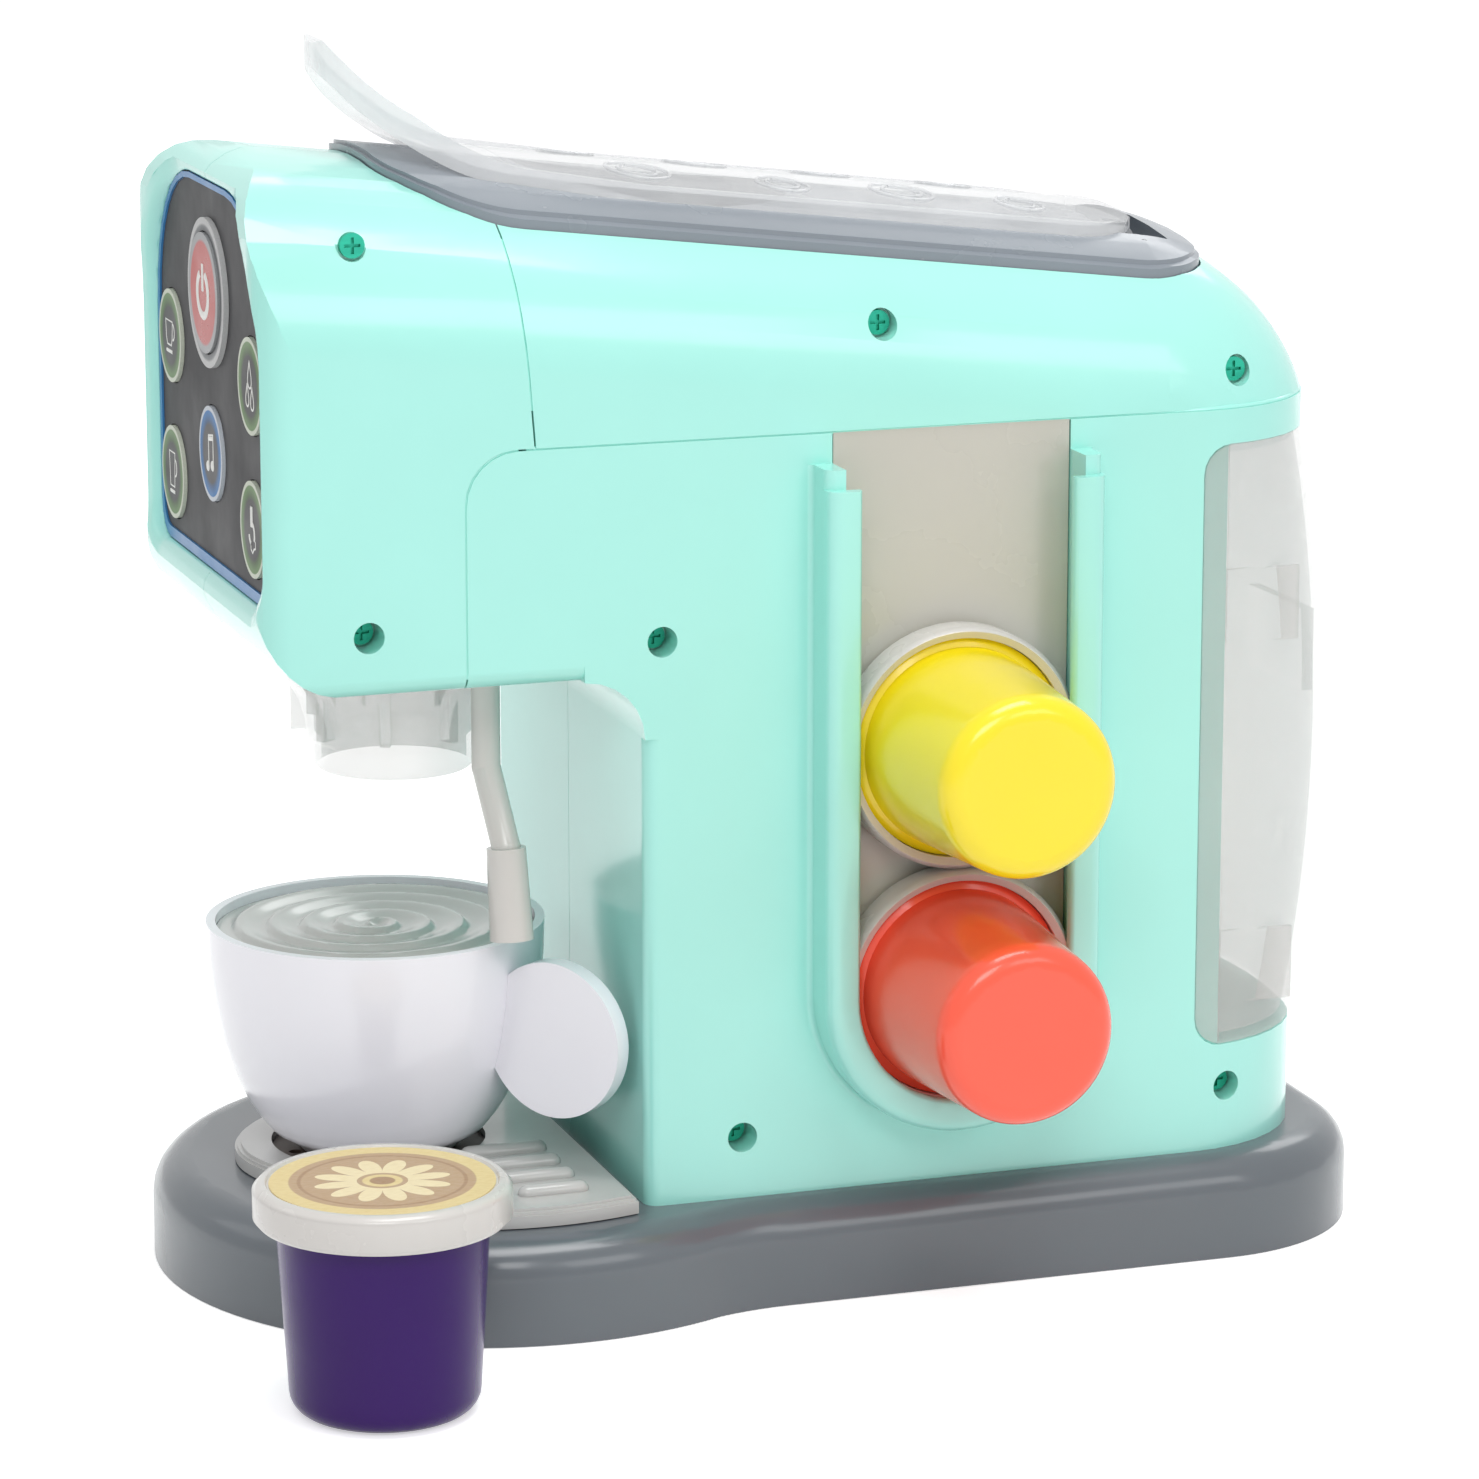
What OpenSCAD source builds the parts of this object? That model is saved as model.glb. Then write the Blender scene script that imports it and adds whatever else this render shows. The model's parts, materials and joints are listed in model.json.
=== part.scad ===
// Toy coffee maker. Millimetres, +Z up, +X towards the capsule rack, -Y towards the control panel.
// The origin lies in the middle of the underside of the base.

/* [Base] */
// Length of the base from front to rear
base_len = 284; // [270:1:300]
// Radius of the round front of the base
base_front_r = 79; // [76:0.5:84]
// Width of the straight rear part of the base
base_w = 138; // [132:1:146]
// Radius of the rear corners of the base, seen from above
base_corner_r = 45; // [30:1:55]
// Radius that blends the front bulge into the straight sides
base_waist_r = 60; // [50:1:80]
// Height of the base
base_h = 23.5; // [21:0.5:27]
// Radius along the top edge of the base
base_edge_r = 9; // [5:0.5:12]
// Wall of the base
base_wall = 2.6; // [2.2:0.1:3.2]
// Thickness of the bottom cover
plate_t = 2.4; // [2:0.1:3]

/* [Housing] */
// Width of the housing
body_w = 118; // [112:1:124]
// Wall of the housing shells
wall = 2.4; // [2:0.1:3]
// Distance from the origin forwards to the front of the head
head_front = 130; // [126:1:134]
// Distance from the origin forwards to the front of the column
column_front = 43; // [40:1:48]
// Distance from the origin back to the rear of the column
column_rear = 130; // [127:1:132]
// Height of the underside of the head
head_under_z = 146.3; // [142:0.1:150]
// Height of the seam between the lower and the upper shells
seam_z = 199.5; // [196:0.5:204]
// Slope of the roof in degrees
roof_slope = 6.9; // [6:0.1:8]
// Radius of the round rear top
rear_r = 52; // [48:1:56]
// Height of the centre of the round rear top
rear_centre_z = 185; // [182:1:188]
// Radius of the crown across the roof
crown_r = 160; // [140:5:220]
// Radius along the long top edges and the rear corners
edge_r = 37; // [33:1:40]
// Radius of the upright front corners of the head
head_corner_r = 8; // [5:0.5:12]
// Radius at the lower front of the head
chin_r = 20; // [14:1:24]
// Radius at the upper front of the head
brow_r = 14; // [10:1:18]
// Radius of the concave corner between head and column
throat_r = 14; // [8:1:18]
// Visible gap at the seams between the shells
seam_gap = 0.4; // [0.2:0.1:0.6]

/* [Screws] */
// Radius of the screw wells in the side of the housing
well_r = 3.5; // [3:0.1:4]
// Depth of the screw wells
well_depth = 9; // [7:0.5:12]
// Radius of the screw shafts
screw_r = 1.4; // [1.2:0.1:1.6]
// Length of the screw shafts
screw_len = 14; // [10:1:16]

/* [Control panel] */
// Width of the control panel
panel_w = 102; // [96:1:104]
// Height of the lower edge of the control panel above the table
panel_z = 165; // [160:1:170]
// Height of the control panel from its lower to its upper edge
panel_h = 89; // [84:1:90]
// Radius of the upper corners of the panel
panel_r = 34; // [28:1:38]
// Depth of the panel face below the front of the head
panel_depth = 4; // [2:0.5:6]
// Thickness of the panel
panel_t = 2.2; // [1.6:0.1:3]
// Radius of the power button
power_r = 13.6; // [12:0.2:15]
// Radius of the small buttons
button_r = 10.8; // [9:0.2:11]
// Height of the power button above the table
power_z = 228.6; // [226:0.2:230]
// Button travel
button_travel = 0.8; // [0.5:0.1:1]

/* [Lid] */
// Half width of the grey lid frame
frame_half_w = 43.3; // [42:0.1:45]
// Half width of the clear lid
lid_half_w = 34; // [33:0.5:36]
// Thickness of the clear lid
lid_t = 2.2; // [1.8:0.1:2.8]
// Height of the rim round the front lip of the lid
lid_rim_h = 5.2; // [4:0.2:6]
// How far the front lip of the lid reaches from the origin
lid_tip = 103; // [100:1:106]
// Height of the front lip of the lid above the table
lid_tip_z = 278.6; // [276:0.2:280]
// Distance from the origin back to the hinge of the lid
hinge_y = 86; // [82:0.5:88]
// Radius of the hinge pin
hinge_pin_r = 1.5; // [1.3:0.1:1.8]
// Radius of the well that takes a capsule
chamber_r = 30; // [29.5:0.5:33]
// Depth of the capsule well
chamber_depth = 44; // [36:1:50]

/* [Capsules] */
// Outer radius of the capsule lids
cap_lid_r = 28; // [26:0.1:28.2]
// Height of the capsule lids
cap_lid_h = 8.6; // [7:0.2:10]
// Height of a capsule from its bottom to the top of its lid
cap_h = 51.5; // [46:0.5:56]
// Outer radius of a capsule below its lid
cap_top_r = 23.2; // [21:0.1:23.6]
// Outer radius of a capsule at its bottom
cap_bottom_r = 20.6; // [19:0.1:22]
// Wall of the capsules
cap_wall = 1.6; // [1.2:0.1:2]
// How far the loose capsule stands to the side
loose_x = 105.9; // [104:0.5:110]
// How far the loose capsule stands in front of the origin
loose_y = 117.6; // [112:0.5:122]

/* [Capsule rack] */
// Distance from the origin back to the middle of the rack
rack_y = 29.6; // [27:0.2:31]
// Height of the centre of the lower capsule
rack_low_z = 70.6; // [68:0.2:76]
// Gap between a capsule lid and the walls of the rack
rack_gap = 0.6; // [0.4:0.1:1]
// Wall of the rack's rails
rail_wall = 4.6; // [3.6:0.1:5]
// How far the lips of the rails reach over the lids
rail_lip = 3.2; // [2.4:0.1:4]
// Thickness of the lips
lip_t = 2.6; // [2:0.1:3.2]
// Distance from the seam down to the top of the rails
rail_drop = 7; // [5:0.5:12]

/* [Outlet and steam wand] */
// Distance from the origin forwards to the outlet
outlet_y = 85; // [83:0.5:87]
// Outer radius of the outlet's mouth
outlet_r = 18.7; // [17:0.1:20]
// Radius of the outlet's flange
outlet_flange_r = 27; // [24:0.5:28]
// Length of the outlet below the head
outlet_len = 29; // [26:0.5:32]
// Radius of the steam wand's tube
wand_r = 3.3; // [2.8:0.1:3.6]
// Sideways place of the wand's stem
wand_x = 30; // [29:0.5:31]
// Distance from the origin forwards to the wand's stem
wand_y = 71.6; // [70:0.2:73]
// Height of the wand's lower end above the table
wand_tip_z = 84; // [83.5:0.5:86]

/* [Cup and tray] */
// Distance from the origin forwards to the middle of the cup
cup_y = 90; // [88:0.5:92]
// Radius of the cup's rim
cup_r = 39.2; // [37:0.2:41]
// Height of the cup
cup_h = 54.6; // [52:0.2:55]
// Wall of the cup
cup_wall = 2.2; // [1.8:0.1:2.6]
// Radius of the disc handle
handle_r = 18.2; // [16:0.2:19]
// Thickness of the disc handle
handle_t = 4.4; // [3.6:0.2:5]
// Height of the drip tray
tray_h = 4.2; // [3.6:0.2:5]
// Radius of the tray's round front
tray_ring_r = 33.5; // [31:0.5:36]
// Radius of the well under the cup
tray_well_r = 25; // [23:0.5:27]
// Radius of the tray's wide part
tray_wide_r = 66.5; // [62:0.5:68]

/* [Water tank] */
// Height of the tank's lower edge above the table
tank_z = 49; // [46:1:54]
// Height of the tank
tank_h = 142; // [136:1:144]
// Wall of the tank
tank_wall = 2; // [1.6:0.1:2.4]
// Distance from the origin back to the front edge of the tank's sides
tank_front = 91.4; // [90:0.2:93]
// Distance from the origin back to the wall behind the tank
tank_recess = 98; // [97:0.5:100]
// How far the tank's rear bulges past the column
tank_bulge = 7; // [4:0.5:8]
// Radius of the tank's front corners, seen from the side
tank_corner_r = 7; // [5:0.5:9]

/* [Clearances] */
// Gap between pieces that move past each other
gap = 0.3; // [0.2:0.05:0.5]
// Running clearance of a pin in its hole
run = 0.05; // [0.03:0.01:0.09]

/* [Hidden] */
$fn = 64;
eps = 0.01;
big = 400;

mint = "#9CE6D8";
slate = "#707A82";
stone = "#C8C5C0";

// An arc as a list of points, n steps from angle a0 to angle a1
function arc(cx, cy, r, a0, a1, n) =
    [for (k = [0:n]) let (a = a0 + (a1 - a0) * k / n) [cx + r * cos(a), cy + r * sin(a)]];

// Draws in the side view: x of the outline runs along +Y, y along +Z, and the depth along +X
module side(x0, depth) {
    translate([x0, 0, 0]) rotate([90, 0, 90]) linear_extrude(depth) children();
}

// Draws in the front view: x of the outline runs along +X, y along +Z, and the depth along +Y
module front(y0, depth) {
    translate([0, y0 + depth, 0]) rotate([90, 0, 0]) linear_extrude(depth) children();
}

// A rod along +X through (y, z)
module rod(x0, len, y, z, r) {
    translate([x0, y, z]) rotate([0, 90, 0]) cylinder(h = len, r = r);
}

// ---------------------------------------------------------------- base

base_front_y = base_front_r - base_len / 2;
base_rear_y = base_len / 2 - base_corner_r;
base_corner_x = base_w / 2 - base_corner_r;
waist_x = base_w / 2 + base_waist_r;
waist_bite = 0.35;
waist_dy = sqrt(pow(base_front_r + base_waist_r - waist_bite, 2) - pow(waist_x, 2));
waist_y = base_front_y + waist_dy;
waist_angle = atan2(waist_dy, waist_x);

waist_core = 56;

// Section across the base between two edges at distance r, inset by i
function full_section(r, i, z0) = concat([[-r + i, z0], [r - i, z0]],
    arc(r - base_edge_r, base_h - base_edge_r, base_edge_r - i, 0, 90, 6),
    arc(-r + base_edge_r, base_h - base_edge_r, base_edge_r - i, 90, 180, 6));

// Section of the base's edge, out to radius r, inset by i
function edge_section(r, i, z0) = concat([[0, z0], [r - i, z0]],
    arc(r - base_edge_r, base_h - base_edge_r, base_edge_r - i, 0, 90, 6), [[0, base_h - i]]);

// The base as a solid, inset by i, from height z0 up
module base_solid(i, z0) {
    translate([0, base_front_y, 0]) rotate_extrude($fn = 96) polygon(edge_section(base_front_r, i, z0));
    translate([-waist_core, base_front_y, z0]) cube([2 * waist_core, waist_y + 6 - base_front_y, base_h - i - z0]);
    front(waist_y, base_rear_y - waist_y) polygon(full_section(base_w / 2, i, z0));
    for (m = [0, 1]) mirror([m, 0, 0]) {
        translate([base_corner_x, base_rear_y, 0])
            rotate_extrude(angle = 90) polygon(edge_section(base_corner_r, i, z0));
        translate([waist_x, waist_y, 0]) rotate([0, 0, 180]) rotate_extrude(angle = waist_angle)
            polygon(concat([[base_waist_r + i, z0]], arc(base_waist_r + base_edge_r,
                base_h - base_edge_r, base_edge_r - i, 180, 90, 6),
                [[waist_x - waist_core + 2, base_h - i], [waist_x - waist_core + 2, z0]]));
    }
    side(-base_corner_x, 2 * base_corner_x) translate([base_rear_y, 0])
        polygon(edge_section(base_corner_r, i, z0));
}

// Outline of the base from above, inset by i
module base_outline(i) {
    translate([0, base_front_y]) circle(base_front_r - i, $fn = 96);
    translate([-base_w / 2 + i, base_front_y + 42]) square([base_w - 2 * i, base_rear_y - base_front_y - 42]);
    translate([-base_corner_x, base_front_y]) square([2 * base_corner_x, base_len / 2 - i - base_front_y]);
    for (s = [-1, 1]) translate([s * base_corner_x, base_rear_y]) circle(base_corner_r - i);
}

screw_seat = 1.2;
base_screw_x = 52;
base_screws_at = [[-base_screw_x, -95], [base_screw_x, -95], [-base_screw_x, 96], [base_screw_x, 96],
    [-base_screw_x, 0], [base_screw_x, 0]];
battery_r = 7.2;
battery_len = 50;
battery_z = battery_r + 1.8;
battery_count = 3;
battery_pitch = 2 * battery_r + 1.2;
battery_y = 58;
battery_bay_w = battery_len + 9;
battery_bay_l = battery_count * battery_pitch + 2;
door_w = battery_bay_w + 6;
door_l = battery_bay_l + 6;
speaker_y = -60;
speaker_r = 18;

module base_shell() {
    color(slate) difference() {
        union() {
            difference() {
                base_solid(0, 0);
                base_solid(base_wall, -1);
            }
            for (p = base_screws_at) translate([p.x, p.y, plate_t + gap])
                cylinder(h = base_h - base_wall - plate_t - gap + 0.5, r = 4);
        }
        for (p = base_screws_at) translate([p.x, p.y, -1]) cylinder(h = base_h - 4, r = screw_r - 0.1);
        // wires from the batteries go up into the column here
        translate([0, 20, base_h - 6]) cylinder(h = 10, r = 8);
    }
}

module base_plate() {
    color(slate) difference() {
        union() {
            linear_extrude(plate_t) base_outline(base_wall + gap);
            translate([-battery_bay_w / 2 - 1.6, battery_y - battery_bay_l / 2 - 1.6, 0])
                cube([battery_bay_w + 3.2, battery_bay_l + 3.2, plate_t + 15.6]);
            translate([0, speaker_y, 0]) cylinder(h = plate_t + 5, r = speaker_r + 1.8);
        }
        translate([-battery_bay_w / 2, battery_y - battery_bay_l / 2, -1])
            cube([battery_bay_w, battery_bay_l, plate_t + 15]);
        translate([-door_w / 2, battery_y - door_l / 2, -1]) cube([door_w, door_l, 1 + 1.4 + gap]);
        translate([0, speaker_y, plate_t]) cylinder(h = 10, r = speaker_r);
        for (p = base_screws_at) translate([p.x, p.y, -1]) cylinder(h = 20, r = screw_r + 0.3);
        for (p = base_screws_at) translate([p.x, p.y, -1]) cylinder(h = 1 + screw_seat, r = screw_r * 2 + 0.3);
        for (ring = [0:2], k = [0:max(0, ring * 6 - 1)])
            rotate_about([0, speaker_y], k * 60 / max(1, ring)) translate([ring * 4.6, 0, -1])
                cylinder(h = 20, r = 1.3, $fn = 24);
    }
}

module rotate_about(p, a) {
    translate([p.x, p.y, 0]) rotate([0, 0, a]) children();
}

module battery_door() {
    color(slate) difference() {
        translate([-door_w / 2 + gap, battery_y - door_l / 2 + gap, 0])
            cube([door_w - 2 * gap, door_l - 2 * gap, 1.4]);
        for (k = [-2:2]) translate([-12, battery_y + k * 4 - 0.6, -1]) cube([24, 1.2, 1.5]);
    }
}

module batteries() {
    for (k = [0:battery_count - 1]) {
        y = battery_y + (k - (battery_count - 1) / 2) * battery_pitch;
        flip = k % 2;
        color("#C7923E") union() {
            rod(-battery_len / 2 + 1, battery_len - 2.2, y, battery_z, battery_r);
            rod(flip == 1 ? -battery_len / 2 : battery_len / 2 - 1.5, 1.5, y, battery_z, 2.7);
        }
    }
}

module battery_contacts() {
    color("#C9CCD0") for (s = [-1, 1], k = [0:battery_count - 1]) {
        y = battery_y + (k - (battery_count - 1) / 2) * battery_pitch;
        x = s > 0 ? battery_len / 2 + 0.4 : -battery_len / 2 - 1.2;
        translate([x, y - 5, 4]) cube([0.8, 10, 12]);
    }
}

module base_screws() {
    color("#8D9196") for (p = base_screws_at) translate([p.x, p.y, 0.2]) difference() {
        union() {
            cylinder(h = screw_seat - 0.2, r = screw_r * 2);
            cylinder(h = 12, r = screw_r - 0.1 - gap / 4);
        }
        translate([-1.8, -0.35, -1]) cube([3.6, 0.7, 1.5]);
        translate([-0.35, -1.8, -1]) cube([0.7, 3.6, 1.5]);
    }
}

module speaker() {
    color("#3B3E42") translate([0, speaker_y, plate_t + 0.2]) {
        cylinder(h = 2, r = speaker_r - gap);
        translate([0, 0, 2]) cylinder(h = 5, r1 = speaker_r - 2, r2 = 8);
        translate([0, 0, 7]) cylinder(h = 4, r = 8);
    }
}

// ---------------------------------------------------------------- housing envelope

half_w = body_w / 2;
rear_centre_y = column_rear - rear_r * cos(asin((seam_z - rear_centre_z) / rear_r));
roof_end = [rear_centre_y + rear_r * sin(roof_slope), rear_centre_z + rear_r * cos(roof_slope)];
roof_lap = 0.05;

// Section across the roof: heights run from 0 at the crown down to -depth, inset by i
function roof_section(i, depth) = let (
    hw = half_w - i,
    r = edge_r - i,
    xc = hw - r,
    zc = -crown_r + sqrt(pow(crown_r - i - r, 2) - pow(xc, 2)),
    a = atan2(zc + crown_r, xc))
    concat([[hw, -depth]], arc(xc, zc, r, 0, a, 8), arc(0, -crown_r, crown_r - i, a, 180 - a, 6),
        arc(-xc, zc, r, 180 - a, 180, 8), [[-hw, -depth]]);

// A straight length of roof that starts at p = [y, z] and falls at angle a towards the rear
module roof_run(p, a, len, i, depth) {
    translate([0, p.x, p.y]) rotate([-a, 0, 0]) translate([0, len, 0]) rotate([90, 0, 0])
        linear_extrude(len) polygon(roof_section(i, depth));
}

// The roof from the front of the head to the rear, inset by i
roof_len = 260;

module roof(i, depth) {
    roof_run(roof_end - roof_len * [cos(roof_slope), -sin(roof_slope)], roof_slope, roof_len, i, depth);
    translate([0, rear_centre_y, rear_centre_z]) rotate([90, 0, 90]) rotate_extrude(angle = 93 - roof_slope)
        polygon([for (p = roof_section(i + roof_lap, rear_r)) [rear_r + p.y, p.x]]);
}

// The head down to its underside, inset by i
module head(i) {
    intersection() {
        roof(i, 140);
        side(-big / 2, big) polygon(concat(
            arc(-head_front + brow_r, roof_z(brow_r - head_front) - brow_r, brow_r - i, 90 - roof_slope, 180, 6),
            arc(-head_front + chin_r, head_under_z + chin_r, chin_r - i, 180, 270, 8),
            [[0, head_under_z + i], [0, roof_z(0) + 2]]));
        translate([0, 0, 100]) linear_extrude(200) polygon(concat(
            arc(-half_w + head_corner_r, -head_front + head_corner_r, head_corner_r - i, 180, 270, 6),
            arc(half_w - head_corner_r, -head_front + head_corner_r, head_corner_r - i, 270, 360, 6),
            [[half_w - i, 100], [-half_w + i, 100]]));
        front(-big / 2, big) polygon(under_edge(i));
    }
}

// Front view of the housing with its small lower edge radius at the underside of the head
under_r = 4;
function under_edge(i) = concat(
    arc(-half_w + under_r, head_under_z + under_r, under_r - i, 180, 270, 4),
    arc(half_w - under_r, head_under_z + under_r, under_r - i, 270, 360, 4),
    [[half_w - i, 320], [-half_w + i, 320]]);

// Outline of the column from above, inset by i
column_corner_r = 3.4;
function column_outline(i) = concat(
    arc(-half_w + column_corner_r, -column_front + column_corner_r, column_corner_r - i, 180, 270, 4),
    arc(half_w - column_corner_r, -column_front + column_corner_r, column_corner_r - i, 270, 360, 4),
    [for (p = roof_section(i, 60)) [p.x, column_rear + p.y]]);

// The recess that takes the tank, grown by i
module tank_recess(i) {
    z0 = tank_z - gap - i;
    z1 = tank_z + tank_h + gap + i;
    translate([-100, tank_recess - i, z0]) cube([200, 100, z1 - z0]);
    for (s = [-1, 1]) side(s > 0 ? half_w - tank_wall - gap - i : -half_w - 20 + tank_wall + gap + i, 20)
        polygon(concat([[200, z0], [200, z1]],
            arc(tank_front - gap - i + tank_corner_r, z1 - tank_corner_r, tank_corner_r, 90, 180, 5),
            arc(tank_front - gap - i + tank_corner_r, z0 + tank_corner_r, tank_corner_r, 180, 270, 5)));
}

// The lower housing, inset by i: the column, and its neck under the head
module lower(i, z0) {
    difference() {
        union() {
            translate([0, 0, z0]) linear_extrude(seam_z + 1 - z0) polygon(column_outline(i));
            intersection() {
                side(-half_w + i, body_w - 2 * i) polygon(concat(
                    [[-head_front, seam_z + 1], [-head_front, head_under_z + i],
                    [-column_front - throat_r, head_under_z + i]],
                    arc(-column_front - throat_r, head_under_z - throat_r, throat_r + i, 90, 0, 6),
                    [[-column_front + 20, head_under_z - throat_r], [-column_front + 20, seam_z + 1]]));
                union() {
                    front(-big / 2, big) polygon(under_edge(i));
                    translate([-big / 2, -column_front - throat_r, 0]) cube([big, big, seam_z + 1]);
                }
            }
        }
        tank_recess(i);
    }
}

neck_front = 84;
upper_front = 68;
neck_corner_r = 12;

// Side view of the lower shells, shrunk by g at its seams
module lower_region(g) {
    polygon(concat([[200, -10], [200, seam_z - g]],
        arc(-neck_front + neck_corner_r + g, seam_z - g - neck_corner_r, neck_corner_r, 90, 180, 6),
        [[-neck_front + g, -10]]));
}

// Side view of the upper shells, shrunk by g at their seams
module upper_region(g) {
    polygon([[-upper_front + g, seam_z + g], [200, seam_z + g], [200, 400], [-upper_front - 4 + g, 400],
        [-upper_front - 4 + g, 250]]);
}

// One half of the housing, on the side of sign s
module half_space(s) {
    translate([s > 0 ? seam_gap / 4 : -big - seam_gap / 4, -big / 2, -10]) cube([big, big, big]);
}

// Screw wells: places in the side view
head_wells = [[-106.8, 245.2], [-106.2, 159.8]];
upper_wells = [[14.2, 222.5], [101, 207.5]];
lower_wells = [[-38.9, 154.4], [-20.1, 37.8], [100, 38.5]];
all_wells = concat(head_wells, upper_wells, lower_wells);
well_floor_x = half_w - well_depth;
well_wall = 1.7;

module well_posts(places) {
    for (p = places) rod(well_floor_x - 2, well_depth + 1, p.x, p.y, well_r + well_wall);
}

module well_holes(places) {
    for (p = places) {
        rod(well_floor_x, 30, p.x, p.y, well_r);
        rod(well_floor_x - 10, 20, p.x, p.y, screw_r + 0.3);
    }
}

// Bosses of the left shells, which reach across to the wells
module bosses(places, end = well_floor_x - 2) {
    for (p = places) rod(-half_w + 1, half_w - 1 + end, p.x, p.y, well_r + 0.4);
}

// Thinner ends of the bosses that run close under the shoulder of the right shell
boss_step = 24;
module boss_ends(places) {
    for (p = places) rod(boss_step - 1, well_floor_x - 1 - boss_step, p.x, p.y, well_r - 0.2);
}

module boss_holes(places) {
    for (p = places) rod(well_floor_x - 22, 30, p.x, p.y, screw_r - 0.1);
}

module housing_screws() {
    color("#55595E") for (p = all_wells) difference() {
        union() {
            rod(well_floor_x, 1.8, p.x, p.y, screw_r * 2);
            rod(well_floor_x - screw_len, screw_len + 1, p.x, p.y, screw_r - 0.1 - gap / 4);
        }
        translate([well_floor_x + 1, p.x - 1.8, p.y - 0.35]) cube([3, 3.6, 0.7]);
        translate([well_floor_x + 1, p.x - 0.35, p.y - 1.8]) cube([3, 0.7, 3.6]);
    }
}

// ---------------------------------------------------------------- lower shells

rail_in = cap_lid_r + rack_gap;
rail_out = rail_in + rail_wall;
rail_lip_in = rail_in - rail_lip;
lid_back_x = half_w + gap;
lip_x = lid_back_x + cap_lid_h + gap;
rail_x = lip_x + lip_t;
rail_top = seam_z - rail_drop;
lip_top = rail_top - 4.5;
rail_foot = 1.4;
window_r = rail_in;

// Section of a rail: distance from the middle of the rack, and height above the side of the housing
function rail_section(lip) = concat(
    [[rail_in, half_w - wall], [rail_out + rail_foot, half_w - wall], [rail_out + rail_foot, half_w]],
    arc(rail_out + rail_foot, half_w + rail_foot, rail_foot, 270, 180, 3),
    arc(rail_out - 3, (lip > 0 ? rail_x : lip_x) - 3, 3, 0, 90, 5),
    lip > 0 ? [[rail_lip_in + 1, rail_x], [rail_lip_in, rail_x - 1], [rail_lip_in, lip_x], [rail_in, lip_x]]
        : [[rail_in, lip_x]]);

// The rack's rails: a U with a round lower end
module rails() {
    translate([0, rack_y, rack_low_z]) rotate([90, 0, 90]) {
        rotate([0, 0, 180]) rotate_extrude(angle = 180) polygon(rail_section(1));
        for (m = [0, 1]) mirror([m, 0, 0]) {
            rotate([-90, 0, 0]) mirror([0, 1, 0])
                linear_extrude(lip_top - rack_low_z) polygon(rail_section(1));
            rotate([-90, 0, 0]) mirror([0, 1, 0])
                linear_extrude(rail_top - rack_low_z) polygon(rail_section(0));
        }
    }
}

// Outline of the rack's window in the side view, grown by g
module rack_outline(g) {
    translate([rack_y, rack_low_z]) circle(window_r + g);
    translate([rack_y - window_r - g, rack_low_z]) square([2 * (window_r + g), seam_z - rack_low_z + 1]);
}

wand_boss_h = 9;

module lower_half(s) {
    difference() {
        union() {
            intersection() {
                difference() {
                    lower(0, base_h);
                    lower(wall, base_h - 1);
                    if (s > 0) side(half_w - 10, 20) rack_outline(0);
                }
                half_space(s);
                side(-big / 2, big) lower_region(seam_gap / 2);
            }
            if (s > 0) {
                rails();
                intersection() {
                    well_posts(lower_wells);
                    lower(0, base_h);
                }
                intersection() {
                    translate([wand_x, -wand_y, head_under_z + 1]) cylinder(h = wand_boss_h, r = wand_r + 3);
                    side(-big / 2, big) lower_region(seam_gap / 2);
                }
            } else intersection() {
                bosses(lower_wells);
                lower(wall / 2, base_h);
            }
        }
        if (s > 0) {
            well_holes(lower_wells);
            translate([wand_x, -wand_y, head_under_z - 5]) cylinder(h = 30, r = wand_r + run);
        } else boss_holes(lower_wells);
        translate([0, -outlet_y, head_under_z - 5]) cylinder(h = 20, r = outlet_neck_r + 0.2);
    }
}

module body_right() {
    color(mint) lower_half(1);
}

module body_left() {
    color(mint) lower_half(-1);
}

module rack_plate() {
    color(stone) difference() {
        union() {
            side(half_w - wall, wall - gap) offset(delta = -gap) rack_outline(0);
            side(half_w - 2 * wall, wall) intersection() {
                rack_outline(3);
                translate([-big / 2, 0]) square([big, seam_z - seam_gap]);
            }
        }
        translate([0, -big / 2, seam_z - seam_gap / 2]) cube(big);
    }
}

// ---------------------------------------------------------------- upper shells and lid frame

frame_front = 93.5;
frame_rear = 103;
frame_front_r = 28;
frame_rear_r = 21;

// Outline of the lid frame from above, grown by g
module frame_outline(g) {
    hull() for (s = [-1, 1]) {
        translate([s * (frame_half_w - frame_front_r), -frame_front + frame_front_r]) circle(frame_front_r + g);
        translate([s * (frame_half_w - frame_rear_r), frame_rear - frame_rear_r]) circle(frame_rear_r + g);
    }
}

module upper_half(s) {
    difference() {
        union() {
            intersection() {
                difference() {
                    roof(0, 75);
                    roof(wall, 75);
                    translate([0, 0, seam_z + 20]) linear_extrude(80) frame_outline(seam_gap / 2);
                }
                half_space(s);
                side(-big / 2, big) upper_region(seam_gap / 2);
            }
            if (s > 0) intersection() {
                well_posts(upper_wells);
                roof(0, 75);
            } else intersection() {
                bosses(upper_wells);
                roof(wall / 2, 75);
            }
        }
        if (s > 0) well_holes(upper_wells);
        else boss_holes(upper_wells);
    }
}

module upper_right() {
    color(mint) upper_half(1);
}

module upper_left() {
    color(mint) upper_half(-1);
}

frame_t = 5;
frame_rise = 2.4;
seat_rise = 1.4;
hinge_drop = 4.2;
// How far the lid's seat runs on under the lip
seat_reach = 14;
lid_rear = hinge_y + 2.5;
lip_y = 62;

// Height of the roof's crown at y
function roof_z(y) = y > roof_end.x ? rear_centre_z + sqrt(pow(rear_r, 2) - pow(y - rear_centre_y, 2))
    : roof_end.y + (roof_end.x - y) * tan(roof_slope);

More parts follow.
